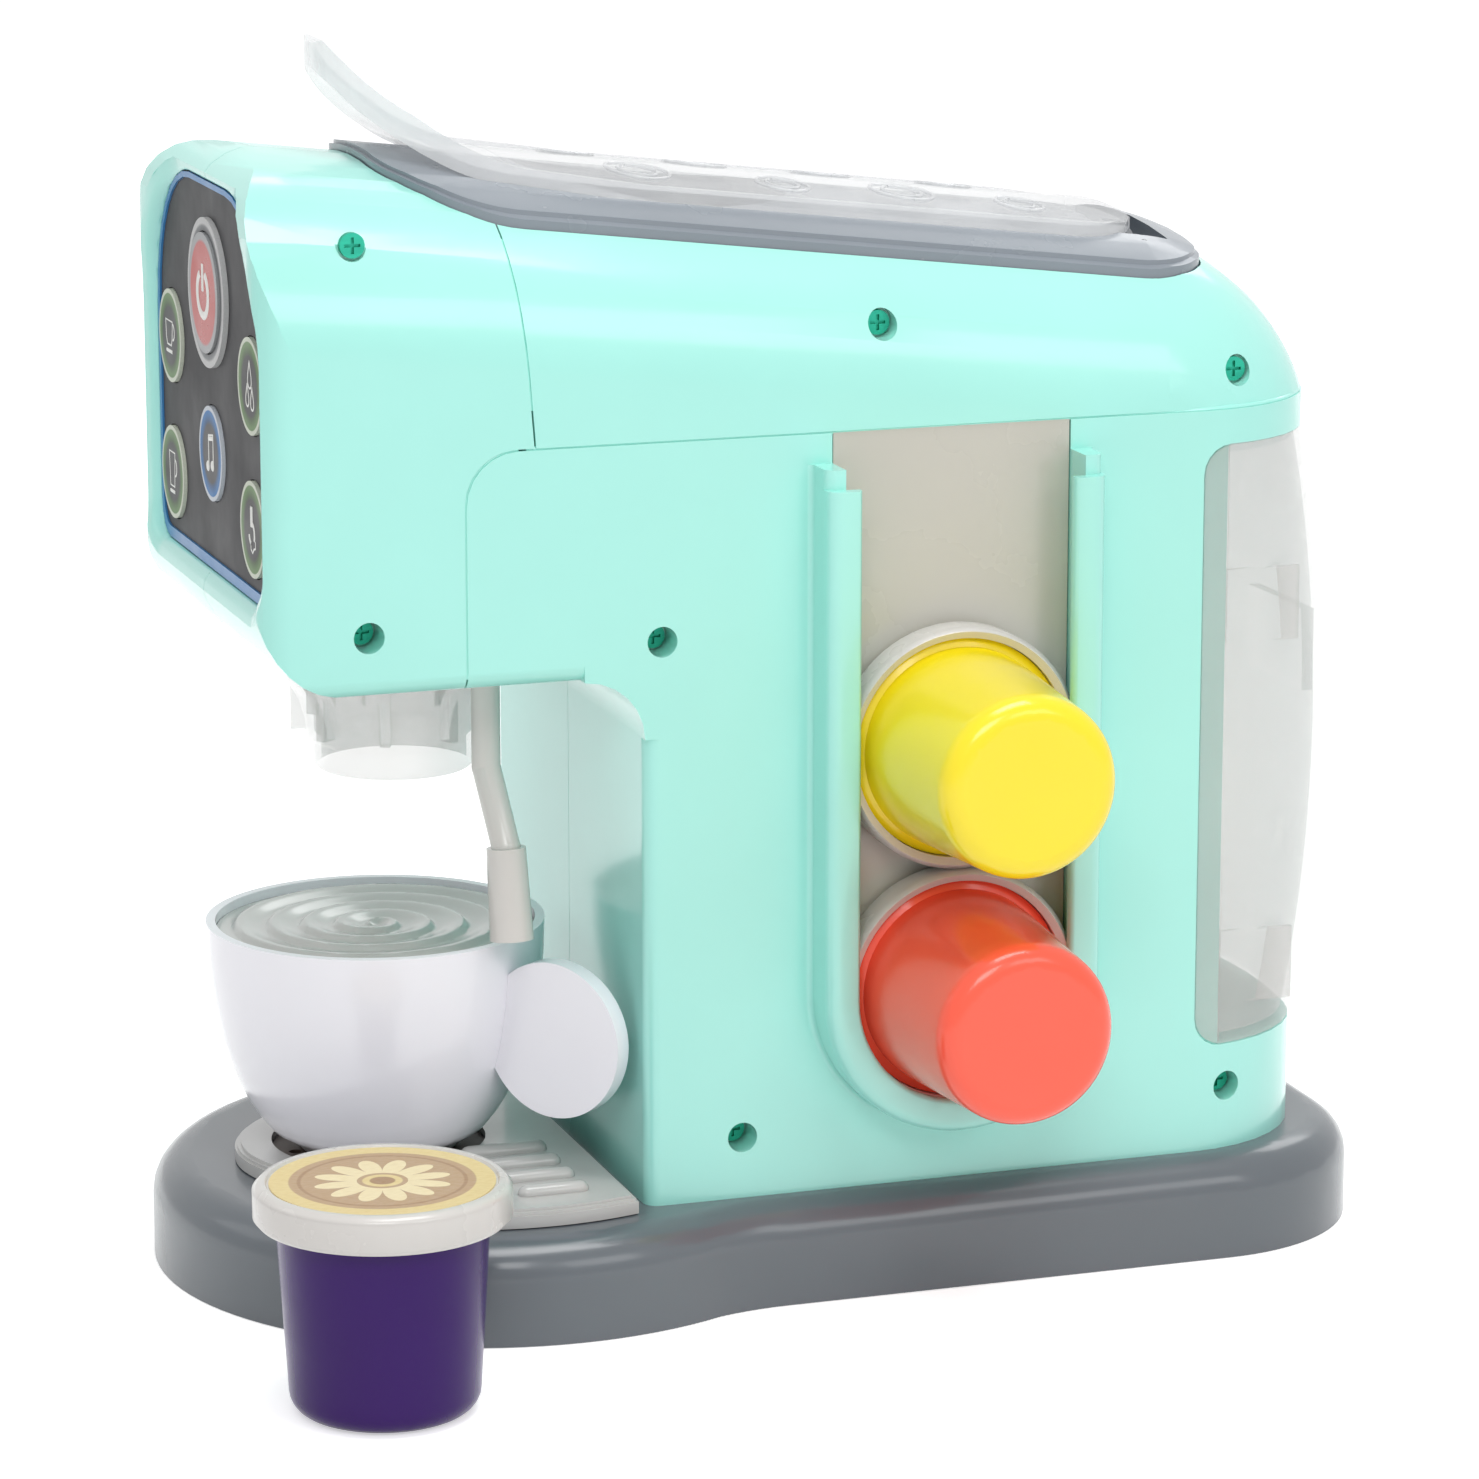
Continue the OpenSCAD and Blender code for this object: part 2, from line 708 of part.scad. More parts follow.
// The front lip of the lid is one arc that starts along the slope of the roof at -lip_y
lip_z = roof_z(-lip_y) + seat_rise;
lip_chord = atan2(lid_tip_z - lip_z, lid_tip - lip_y);
lip_end = 2 * lip_chord - roof_slope;
lip_r = (lid_tip - lip_y) / (sin(lip_end) - sin(roof_slope));
lip_centre = [-lip_y + lip_r * sin(roof_slope), lip_z + lip_r * cos(roof_slope)];

// Section across the lid between the heights z0 and z1 above its underside
lid_lap = 0.03;
lid_sweep_w = 42;
lid_fan = asin(lid_sweep_w / crown_r);
function lid_section(z0, z1) = concat(arc(0, -crown_r, crown_r + z0, 90 - lid_fan, 90 + lid_fan, 8),
    arc(0, -crown_r, crown_r + z1, 90 + lid_fan, 90 - lid_fan, 8));

// The lid's plate before it is cut to its outline, between the heights z0 and z1
module lid_sweep(z0, z1) {
    straight = (lid_rear + 6 + lip_y) / cos(roof_slope);
    translate([0, -lip_y, lip_z]) rotate([-roof_slope, 0, 0]) translate([0, straight, 0])
        rotate([90, 0, 0]) linear_extrude(straight) polygon(lid_section(z0, z1));
    translate([0, lip_centre.x, lip_centre.y]) rotate([90, 0, 90]) rotate([0, 0, 270 - lip_end - 12])
        rotate_extrude(angle = lip_end + 14 - roof_slope)
        polygon([for (p = lid_section(z0 + lid_lap, z1 - lid_lap)) [lip_r - p.y, p.x]]);
}

// Outline of the clear lid from above, inset by i
module lid_outline(i) {
    hull() {
        for (s = [-1, 1]) {
            translate([s * (lid_half_w - 20), lid_rear - 20]) circle(20 - i);
            translate([s * (lid_half_w - 30), -40]) circle(30 - i);
            translate([s * (lid_half_w - 26), -lip_y - 4]) circle(22 - i);
        }
        translate([0, -lid_tip + 18]) circle(18 - i);
    }
}

hinge_z = roof_z(hinge_y) + seat_rise - hinge_drop;
knuckle_r = hinge_pin_r + 1.5;
lug_x = 17;
lug_w = 6;
trough_r = 7.4;
trough_x = 30;

// Side view of the lid's rim: it lies along the flat part, and grows towards the lip
rim_flat = [lid_rear, roof_z(lid_rear) + seat_rise + 0.4];
module rim_profile() {
    polygon(concat([rim_flat, [-lip_y + 30, roof_z(-lip_y + 30) + seat_rise + 0.4]],
        [for (k = [0:12]) let (a = roof_slope + (lip_end + 4 - roof_slope) * k / 12,
            r = lip_r - 1.6 - (lid_rim_h - 1.6) * min(1, k / 6))
            [lip_centre.x - r * sin(a), lip_centre.y - r * cos(a)]],
        [[-lid_tip - 20, lid_tip_z - 10], [-lid_tip - 20, 180], [lid_rear, 180]]));
}

module clear_lid() {
    color("#E6EEF2", 0.6) difference() {
        union() {
            intersection() {
                lid_sweep(0.2, lid_t + 0.2);
                translate([0, 0, 200]) linear_extrude(120) lid_outline(0);
            }
            intersection() {
                lid_sweep(0.2, lid_rim_h + 3);
                side(-60, 120) rim_profile();
                translate([0, 0, 200]) linear_extrude(120) difference() {
                    lid_outline(0);
                    lid_outline(lid_t);
                }
            }
            for (s = [-1, 1]) side(s * lug_x - lug_w / 2, lug_w) {
                translate([hinge_y, hinge_z]) circle(knuckle_r);
                translate([hinge_y - knuckle_r, hinge_z]) square([2 * knuckle_r - 1, hinge_drop + 0.8]);
            }
        }
        for (s = [-1, 1]) rod(s * lug_x - 10, 20, hinge_y, hinge_z, hinge_pin_r + run);
    }
}

module lid_hinge_pin() {
    color("#B9BDC2") rod(-trough_x - 3, 2 * trough_x + 6, hinge_y, hinge_z, hinge_pin_r);
}

chamber_y = -23;
chamber_wall = 1.8;

module lid_frame() {
    color(slate) difference() {
        union() {
            intersection() {
                difference() {
                    roof(-frame_rise + 0.9, 75);
                    roof(frame_t, 75);
                }
                translate([0, 0, seam_z + 10]) linear_extrude(90) frame_outline(-seam_gap / 2);
            }
            intersection() {
                difference() {
                    roof(-frame_rise, 75);
                    roof(frame_t - 1, 75);
                }
                translate([0, 0, seam_z + 10]) linear_extrude(90) frame_outline(-seam_gap / 2 - 1.1);
            }
            intersection() {
                rod(-trough_x - 2.4, 2 * trough_x + 4.8, hinge_y, hinge_z, trough_r + 1.6);
                roof(0, 75);
            }
        }
        // seat of the lid, as far as the lip leaves it
        difference() {
            intersection() {
                translate([0, 0, 200]) linear_extrude(120) lid_outline(-gap);
                translate([-60, -lip_y - seat_reach, 200]) cube([120, 200, 120]);
            }
            roof(-seat_rise, 75);
        }
        rod(-trough_x, 2 * trough_x, hinge_y, hinge_z, trough_r);
        rod(-trough_x - 3.2, 2 * trough_x + 6.4, hinge_y, hinge_z, hinge_pin_r + run);
        translate([0, chamber_y, 180]) cylinder(h = 100, r = chamber_r + chamber_wall + 0.2, $fn = 96);
    }
}

module capsule_chamber() {
    top = roof_z(chamber_y + chamber_r) - 3.4;
    color("#5E676F") translate([0, chamber_y, 0]) difference() {
        translate([0, 0, top - chamber_depth - chamber_wall])
            cylinder(h = chamber_depth + chamber_wall, r = chamber_r + chamber_wall, $fn = 96);
        translate([0, 0, top - chamber_depth]) cylinder(h = chamber_depth + 1, r = chamber_r, $fn = 96);
        translate([0, 0, top - chamber_depth - 5]) cylinder(h = 10, r = 4);
    }
}

// ---------------------------------------------------------------- head and control panel

panel_y = -head_front + panel_depth;
panel_low_r = 8;

// Outline of the control panel in the front view, grown by g
module panel_outline(g) {
    polygon(concat(
        arc(-panel_w / 2 + panel_r, panel_z + panel_h - panel_r, panel_r + g, 90, 180, 8),
        arc(-panel_w / 2 + panel_low_r, panel_z + panel_low_r, panel_low_r + g, 180, 270, 4),
        arc(panel_w / 2 - panel_low_r, panel_z + panel_low_r, panel_low_r + g, 270, 360, 4),
        arc(panel_w / 2 - panel_r, panel_z + panel_h - panel_r, panel_r + g, 0, 90, 8)));
}

collar_end = panel_y + panel_t + 0.2;

module head_half(s) {
    difference() {
        union() {
            intersection() {
                difference() {
                    head(0);
                    difference() {
                        head(wall);
                        front(-head_front - 1, collar_end + head_front + 1) panel_outline(wall);
                    }
                }
                half_space(s);
            }
            if (s > 0) intersection() {
                well_posts(head_wells);
                head(0);
            } else {
                intersection() {
                    bosses(head_wells, boss_step);
                    head(wall / 2);
                }
                intersection() {
                    boss_ends(head_wells);
                    head(wall + gap);
                }
            }
        }
        front(-head_front - 1, 20) panel_outline(0);
        side(-big / 2, big) lower_region(-seam_gap / 2);
        side(-big / 2, big) upper_region(-seam_gap / 2);
        translate([0, 0, seam_z + 20]) linear_extrude(80) frame_outline(seam_gap / 2);
        if (s > 0) well_holes(head_wells);
        else boss_holes(head_wells);
        translate([0, -outlet_y, head_under_z - 5]) cylinder(h = 20, r = outlet_neck_r + 0.2);
    }
}

module head_right() {
    color(mint) head_half(1);
}

module head_left() {
    color(mint) head_half(-1);
}

button_row_high = power_z - 15.3;
button_row_low = power_z - 47.2;
button_side = 37.8;
small_buttons = [[-button_side, button_row_high], [-button_side, button_row_low],
    [button_side, button_row_high], [button_side, button_row_low], [0, power_z - 36.6]];
ring_w = 3;

module control_panel() {
    color("#4E5053") difference() {
        front(panel_y, panel_t) panel_outline(-0.2);
        for (p = small_buttons) front(panel_y - 1, 10) translate(p) circle(button_r + gap);
        front(panel_y - 1, 10) translate([0, power_z]) circle(power_r + gap);
    }
}

trim_w = 2.2;
trim_shift = 0.6;

module panel_trim() {
    color("#2F7FBF") front(panel_y - 0.5, 0.5) difference() {
        panel_outline(-0.3);
        translate([0, trim_shift]) panel_outline(-trim_w);
    }
}

module power_ring() {
    color("#A9ADB0") front(panel_y - 1.2, 1.2) translate([0, power_z]) difference() {
        circle(power_r + gap + ring_w);
        circle(power_r + gap);
    }
}

// A button: its face stands proud of the panel by h, and its flange lies behind the panel
module button(p, r, h) {
    front(panel_y - h, h + panel_t + gap + 0.1) translate(p) circle(r);
    front(panel_y + panel_t + gap, 1) translate(p) circle(r + 0.9);
}

module power_button() {
    color("#C2453F") button([0, power_z], power_r, 1.8);
}

module cup_button() {
    color("#4B5A45") button(small_buttons[0], button_r, 0.8);
}

module mug_button() {
    color("#4B5A45") button(small_buttons[1], button_r, 0.8);
}

module drops_button() {
    color("#4B5A45") button(small_buttons[2], button_r, 0.8);
}

module steam_button() {
    color("#4B5A45") button(small_buttons[3], button_r, 0.8);
}

module music_button() {
    color("#3E6FA3") button(small_buttons[4], button_r, 0.8);
}

switch_y = panel_y + panel_t + gap + 1 + button_travel + 0.1;
switch_h = 3.5;
board_t = 1.6;

module key_switches() {
    color("#2E3033") for (p = concat(small_buttons, [[0, power_z]])) translate([p.x, 0, p.y]) {
        front(switch_y, 1.5) circle(1.8);
        translate([-3, switch_y + 1.2, -3]) cube([6, switch_h - 1.2, 6]);
    }
}

module circuit_board() {
    color("#2E7D4F") difference() {
        translate([-48, switch_y + switch_h, panel_z + 6]) cube([96, board_t, panel_h - 26]);
        for (s = [-1, 1]) translate([s * 44, 0, panel_z + 38]) rotate([-90, 0, 0])
            translate([0, 0, -200]) cylinder(h = 400, r = 1.6);
    }
}

// ---------------------------------------------------------------- outlet and steam wand

outlet_neck_r = 16.5;
outlet_bottom = head_under_z - outlet_len;

// Outer profile of the outlet: [radius, height]; the inner profile lies outlet_wall further in
outlet_wall = 2;
outlet_profile = [[outlet_r, outlet_bottom + 1], [outlet_r, outlet_bottom + 6],
    [outlet_r + 1.6, outlet_bottom + 7.6], [outlet_r + 1.6, outlet_bottom + 11],
    [outlet_r + 3.2, outlet_bottom + 16], [outlet_flange_r - 1, head_under_z - 6],
    [outlet_flange_r, head_under_z - 4]];

module outlet_nozzle() {
    w = outlet_wall;
    color("#D5DADB", 0.7) translate([0, -outlet_y, 0]) {
        rotate_extrude($fn = 96) polygon(concat(
            [[outlet_r - w, outlet_bottom + 1], [outlet_r - w + 1, outlet_bottom],
            [outlet_r - 1, outlet_bottom]],
            outlet_profile,
            [[outlet_flange_r, head_under_z], [outlet_neck_r, head_under_z],
            [outlet_neck_r, head_under_z + 7], [3, head_under_z + 7], [3, head_under_z + 5],
            [outlet_neck_r - w, head_under_z + 5], [outlet_neck_r - w, head_under_z - w],
            [outlet_flange_r - w, head_under_z - w], [outlet_flange_r - w, head_under_z - 3.5]],
            [for (k = [len(outlet_profile) - 2:-1:1]) outlet_profile[k] - [w, -0.8]]));
        // catches that hold the clear ring, standing on its shoulder
        for (a = [20:40:340]) rotate([0, 0, a]) translate([outlet_r + 1, -1.2, outlet_bottom + 9])
            cube([4, 2.4, outlet_len - 10]);
    }
}

wand_bend_z = 122;
wand_lean = atan2(8.6, wand_bend_z - wand_tip_z - 21);
wand_turn = 14;
wand_low_z = wand_tip_z + 21;
wand_reach = (wand_bend_z - wand_low_z) * tan(wand_lean);
wand_tip_lean = 6;

// A rod of radius r0 to r1 from point p to point q, in the plane of the wand's bend
module strut(p, q, r0, r1) {
    d = q - p;
    translate([p.x, 0, p.y]) rotate([0, atan2(d.x, d.y), 0]) cylinder(h = norm(d), r1 = r0, r2 = r1);
}

module wand_frame() {
    translate([wand_x, -wand_y, 0]) rotate([0, 0, wand_turn]) children();
}

wand_tip_x = wand_reach + 21 * tan(wand_tip_lean);
wand_knee = 0.06;

module wand_tube() {
    color(stone) wand_frame() {
        translate([0, 0, wand_bend_z]) cylinder(h = head_under_z + 1 + wand_boss_h + 4 - wand_bend_z, r = wand_r);
        translate([0, 0, wand_bend_z]) sphere(wand_r + wand_knee);
        strut([wand_reach, wand_low_z], [0, wand_bend_z], wand_r, wand_r);
        translate([wand_reach, 0, wand_low_z]) sphere(wand_r + wand_knee);
        strut([wand_reach + 4 * tan(wand_tip_lean), wand_low_z - 4], [wand_reach, wand_low_z], wand_r, wand_r);
        translate([0, 0, head_under_z + 1 + wand_boss_h + gap]) cylinder(h = 2.4, r = wand_r + 2);
    }
}

module wand_tip() {
    color(stone) wand_frame() difference() {
        strut([wand_tip_x, wand_tip_z], [wand_reach, wand_low_z], wand_r + 1.7, wand_r + 1.2);
        strut([wand_reach + 4.4 * tan(wand_tip_lean), wand_low_z - 4.4], [wand_reach - 0.4, wand_low_z + 4],
            wand_r + 0.05, wand_r + 0.05);
        strut([wand_tip_x + 0.4, wand_tip_z - 4], [wand_tip_x - 0.6, wand_tip_z + 6], 1.6, 1.6);
    }
}

// ---------------------------------------------------------------- cup and drip tray

tray_z = base_h + gap;
tray_wide_y = -66;
tray_rear = column_front + 3.4;
well_t = 1.2;
tray_floor = 1.2;
cup_z = tray_z + tray_floor + well_t + gap;
tray_ribs = [22, 33, 44, 55];

// Outline of the drip tray from above, inset by i: a round front that flares into a wide rear
module tray_outline(i) {
    offset(delta = -i) offset(r = -9) offset(delta = 9) union() {
        translate([0, -cup_y]) circle(tray_ring_r, $fn = 96);
        intersection() {
            translate([0, tray_wide_y]) circle(tray_wide_r, $fn = 128);
            translate([-big / 2, -86]) square([big, 86 - tray_rear]);
        }
    }
}

module drip_tray() {
    color("#BFBFBC") difference() {
        union() {
            translate([0, 0, tray_z]) linear_extrude(tray_h - 1.4) tray_outline(0);
            translate([0, 0, tray_z + tray_h - 1.4]) linear_extrude(0.7) tray_outline(0.5);
            translate([0, 0, tray_z + tray_h - 0.7]) linear_extrude(0.7) tray_outline(1.4);
            for (x = tray_ribs, s = [-1, 1]) translate([s * x, -59, tray_z + tray_h - 0.4])
                rotate([90, 0, 0]) cylinder(h = 18 - x / 8, r = 1.6);
        }
        translate([0, -cup_y, tray_z + tray_floor]) cylinder(h = 20, r = tray_well_r, $fn = 96);
    }
}

module drip_well() {
    color("#4A3A30") translate([0, -cup_y, tray_z + tray_floor]) difference() {
        cylinder(h = well_t, r = tray_well_r - gap, $fn = 96);
        for (k = [0:7]) rotate([0, 0, k * 45]) translate([20, 0, -1]) cylinder(h = 5, r = 1.5, $fn = 24);
    }
}

cup_foot_r = 19;

// Outer side of the cup: radius at the height fraction t
function cup_side(t) = cup_foot_r + (cup_r - cup_foot_r) * sin(90 * pow(t, 0.62));

cup_steps = 14;
cup_foot_h = 1.4;
function cup_wall_points(i) = [for (k = [0:cup_steps]) let (t = k / cup_steps)
    [cup_side(t) - i, cup_foot_h + (cup_h - cup_foot_h) * t]];

insert_depth = 3.6;
insert_t = 2;

module cup() {
    color("#EDEDF2") translate([0, -cup_y, cup_z]) rotate_extrude($fn = 96) polygon(concat(
        [[0, 0.8], [cup_foot_r - 3.5, 0.8], [cup_foot_r - 2.8, 0], [cup_foot_r - 1, 0], [cup_foot_r - 0.4, 0.6]],
        cup_wall_points(0),
        [for (k = [cup_steps:-1:1]) cup_wall_points(cup_wall)[k]],
        [[cup_foot_r - 2, cup_foot_h + 2.4], [0, cup_foot_h + 2.4]]));
}

module cup_insert() {
    top = cup_h - insert_depth;
    r = cup_side((top - cup_foot_h) / (cup_h - cup_foot_h)) - cup_wall - 0.1;
    low = cup_side((top - insert_t - cup_foot_h) / (cup_h - cup_foot_h)) - cup_wall - 0.1;
    color("#C3C8C5") translate([0, -cup_y, cup_z]) difference() {
        translate([0, 0, top - insert_t]) cylinder(h = insert_t, r1 = low, r2 = r, $fn = 96);
        for (k = [1:4]) translate([0, 0, top - 0.6]) difference() {
            cylinder(h = 2, r = k * 7.6 + 0.8, $fn = 96);
            translate([0, 0, -1]) cylinder(h = 4, r = k * 7.6, $fn = 96);
        }
    }
}

handle_angle = 38.4;
handle_z = 59.6;
handle_reach = 51;

module cup_handle() {
    color("#EDEDF2") difference() {
        union() {
            translate([0, -cup_y, handle_z]) rotate([0, 0, handle_angle]) translate([handle_reach, 0, 0])
                rotate([90, 0, 0]) {
                    translate([0, 0, -handle_t / 2]) cylinder(h = handle_t, r = handle_r, $fn = 96);
                    translate([-handle_r - 2, -6, -handle_t / 2]) cube([8, 12, handle_t]);
                }
        }
        translate([0, -cup_y, cup_z]) rotate_extrude($fn = 96)
            polygon(concat([[0, -5], [cup_foot_r, -5]], cup_wall_points(-0.02), [[0, cup_h]]));
    }
}

// ---------------------------------------------------------------- water tank

tank_rear_r = (tank_h * tank_h / 4 + tank_bulge * tank_bulge) / (2 * tank_bulge);
tank_rear_a = asin(tank_h / 2 / tank_rear_r);

// The tank as a solid, inset by i: the plan of the housing, swept along a shallow upright arc
module tank_solid(i) {
    intersection() {
        translate([0, column_rear + tank_bulge - tank_rear_r, tank_z + tank_h / 2]) rotate([90, 0, 90])
            rotate([0, 0, -tank_rear_a - 2]) rotate_extrude(angle = 2 * tank_rear_a + 4)
                polygon([for (p = roof_section(i, 60)) [tank_rear_r + p.y, p.x]]);
        translate([-big / 2, 0, tank_z + i]) cube([big, big, tank_h - 2 * i]);
    }
}

// Side view of the tank: its sides lap over the housing with rounded corners
module tank_side() {
    polygon(concat([[200, tank_z], [200, tank_z + tank_h]],
        arc(tank_front + tank_corner_r, tank_z + tank_h - tank_corner_r, tank_corner_r, 90, 180, 5),
        arc(tank_front + tank_corner_r, tank_z + tank_corner_r, tank_corner_r, 180, 270, 5)));
}

module water_tank() {
    color("#DCE4E6", 0.55) union() {
        difference() {
            intersection() {
                tank_solid(0);
                side(-big / 2, big) tank_side();
            }
            tank_solid(tank_wall);
            translate([-half_w + tank_wall, 0, 0]) cube([body_w - 2 * tank_wall, tank_recess + gap, big]);
        }
        // catches at the front edge of the sides
        for (s = [-1, 1], z = [tank_z + 18, tank_z + 104])
            translate([s > 0 ? half_w - tank_wall - 1.6 : -half_w + tank_wall, tank_recess + gap, z - 8.6])
                cube([1.6, 18, 17.2]);
        // grip on the rear
        translate([-16, column_rear + tank_bulge - 1.6, tank_z + tank_h / 2 + 2]) cube([32, 3.4, 20]);
    }
}

// ---------------------------------------------------------------- capsules

cap_flange_r = 25.2;
cap_round = 5;
cap_body_h = cap_h - 1.8;

// A capsule that stands on its bottom, with its open end up
module capsule_body() {
    top = cap_body_h;
    slope = (cap_top_r - cap_bottom_r) / top;
    rotate_extrude($fn = 96) polygon(concat([[0, 0]],
        arc(cap_bottom_r + slope * cap_round - cap_round, cap_round, cap_round, 270, 360, 6),
        [[cap_top_r, top - 6], [cap_top_r, top - 5], [cap_flange_r, top - 4], [cap_flange_r, top],
        [cap_top_r - cap_wall, top], [cap_bottom_r + slope * cap_round - cap_wall, cap_round],
        [cap_bottom_r - cap_round, cap_wall], [0, cap_wall]]));
}

module capsule_lid() {
    under = cap_h - cap_lid_h;
    rotate_extrude($fn = 96) polygon([[0, cap_body_h + 0.05], [cap_flange_r + 0.15, cap_body_h + 0.05],
        [cap_flange_r + 0.15, under + 1], [cap_lid_r - 1, under], [cap_lid_r, under + 1.2],
        [cap_lid_r, cap_h - 1.6], [cap_lid_r - 1.6, cap_h], [cap_flange_r, cap_h],
        [cap_flange_r - 0.4, cap_h - 0.6], [0, cap_h - 0.6]]);
}

// Puts a capsule into the rack, lid against the housing, with its centre at height z
module in_rack(z) {
    translate([lid_back_x + cap_h, rack_y, z]) rotate([0, -90, 0]) children();
}

rack_pitch = 2 * cap_lid_r + gap;

module yellow_capsule() {
    color("#F7E53C") in_rack(rack_low_z + rack_pitch) capsule_body();
}

module yellow_lid() {
    color("#DDDAD6") in_rack(rack_low_z + rack_pitch) capsule_lid();
}

module coral_capsule() {
    color("#FF6F55") in_rack(rack_low_z) capsule_body();
}

module coral_lid() {
    color("#DDDAD6") in_rack(rack_low_z) capsule_lid();
}

module purple_capsule() {
    color("#3C1F66") translate([loose_x, -loose_y, 0]) capsule_body();
}

module purple_lid() {
    color("#DDDAD6") translate([loose_x, -loose_y, 0]) capsule_lid();
}

module purple_label() {
    color("#BFA07E") translate([loose_x, -loose_y, cap_h - 0.6]) cylinder(h = 0.3, r = cap_flange_r - 0.8, $fn = 96);
}

base_shell();
base_plate();
battery_door();
batteries();
battery_contacts();
base_screws();
speaker();
drip_tray();
drip_well();
body_right();
body_left();
upper_right();
upper_left();
head_right();
head_left();
housing_screws();
lid_frame();
clear_lid();
lid_hinge_pin();
capsule_chamber();
control_panel();
panel_trim();
power_ring();
power_button();
cup_button();
mug_button();
drops_button();
steam_button();
music_button();
circuit_board();
key_switches();
outlet_nozzle();
wand_tube();
wand_tip();
rack_plate();
water_tank();
yellow_capsule();
yellow_lid();
coral_capsule();
coral_lid();
purple_capsule();
purple_lid();
purple_label();
cup();
cup_insert();
cup_handle();
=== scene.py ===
# %% [markdown]
# This lesson dresses a toy coffee maker. Its shells, buttons, capsules and cup come from the imported CAD model,
# which stays exactly where it is. Blender adds what moulds and printing presses add: colour, gloss, grain, raised
# symbols and swirls.

# %% Load the frame
import json
import math

import bpy
from mathutils import Matrix, Vector


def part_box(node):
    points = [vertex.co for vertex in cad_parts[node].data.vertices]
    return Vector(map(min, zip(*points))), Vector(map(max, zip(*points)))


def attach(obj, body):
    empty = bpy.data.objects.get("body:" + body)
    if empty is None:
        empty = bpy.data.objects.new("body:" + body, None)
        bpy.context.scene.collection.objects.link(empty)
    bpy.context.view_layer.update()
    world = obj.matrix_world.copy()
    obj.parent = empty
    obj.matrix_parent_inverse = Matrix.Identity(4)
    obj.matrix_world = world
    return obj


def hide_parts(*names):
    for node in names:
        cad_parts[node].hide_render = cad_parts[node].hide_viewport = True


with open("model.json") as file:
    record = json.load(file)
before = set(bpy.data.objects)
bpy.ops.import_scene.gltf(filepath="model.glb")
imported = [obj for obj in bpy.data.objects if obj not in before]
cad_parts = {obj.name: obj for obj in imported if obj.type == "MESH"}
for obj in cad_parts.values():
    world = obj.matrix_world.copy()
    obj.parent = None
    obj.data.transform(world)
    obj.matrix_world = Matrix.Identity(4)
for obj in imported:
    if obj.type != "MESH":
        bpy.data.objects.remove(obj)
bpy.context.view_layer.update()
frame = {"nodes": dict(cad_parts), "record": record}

MM = 0.001
nodes = frame["nodes"]

# %% [markdown]
# The photograph looks at the rack side from a little above. A long lens of 140 mm from 1.4 m away keeps the
# verticals nearly parallel, so the camera is placed by its solved position and its three angles.

# %% Camera
bpy.ops.object.select_all(action="DESELECT")
bpy.ops.object.camera_add(
    location=(1.249405, -0.424086, 0.420206),
    rotation=(math.radians(77.037), 0.0, math.radians(71.287)),
)
camera = bpy.context.object
camera.data.lens = 140.05
camera.data.sensor_width = 36.0
camera.data.clip_start, camera.data.clip_end = 0.05, 50.0
bpy.context.scene.camera = camera
print("camera", [round(c, 3) for c in camera.location])

# %% [markdown]
# The studio is a plain pale floor under a white world, with broad soft lamps. A floor that is only white would
# come out grey at this plain light level, so its material adds a little glow that only the camera, gloss and
# glass can see. The glow puts no light on the toy, and the toy's soft shadow stays.

# %% Floor, world and lamps
STUDIO_LEVEL, FLOOR_GLOW = 0.5, 0.52
FLOOR_SIZE, FLOOR_DROP = 80.0, 0.0002
PALE_GREY = (0.9, 0.9, 0.9, 1)
WHITE = (1, 1, 1, 1)
LAMP_AIM = Vector((0, 0, 0.14))
LAMP_SHAPE = 0.7


def sight_of_background(tree):
    """1 for a ray from the camera, off a gloss or through glass, and 0 for light that falls on the object."""
    path = tree.nodes.new("ShaderNodeLightPath")
    gloss = tree.nodes.new("ShaderNodeMath")
    gloss.operation = "MAXIMUM"
    glass = tree.nodes.new("ShaderNodeMath")
    glass.operation = "MAXIMUM"
    tree.links.new(path.outputs["Is Camera Ray"], gloss.inputs[0])
    tree.links.new(path.outputs["Is Glossy Ray"], gloss.inputs[1])
    tree.links.new(gloss.outputs[0], glass.inputs[0])
    tree.links.new(path.outputs["Is Transmission Ray"], glass.inputs[1])
    return glass.outputs[0]


bpy.ops.mesh.primitive_plane_add(size=FLOOR_SIZE, location=(0, 0, -FLOOR_DROP))
floor = bpy.context.object
floor.name = "studio_floor"
floor_finish = bpy.data.materials.new("pale_floor")
floor_finish.use_nodes = True
tree = floor_finish.node_tree
surface = tree.nodes["Principled BSDF"]
surface.inputs["Base Color"].default_value = PALE_GREY
surface.inputs["Roughness"].default_value = 0.85
surface.inputs["Emission Color"].default_value = WHITE
glow = tree.nodes.new("ShaderNodeMath")
glow.operation = "MULTIPLY"
glow.inputs[1].default_value = FLOOR_GLOW
tree.links.new(sight_of_background(tree), glow.inputs[0])
tree.links.new(glow.outputs[0], surface.inputs["Emission Strength"])
floor.data.materials.append(floor_finish)

world = bpy.data.worlds.new("white_room")
bpy.context.scene.world = world
world.use_nodes = True
tree = world.node_tree
sky = tree.nodes["Background"]
sky.inputs["Color"].default_value = WHITE
level = tree.nodes.new("ShaderNodeMapRange")
level.inputs["To Min"].default_value = STUDIO_LEVEL
level.inputs["To Max"].default_value = 1.0
tree.links.new(sight_of_background(tree), level.inputs["Value"])
tree.links.new(level.outputs["Result"], sky.inputs["Strength"])

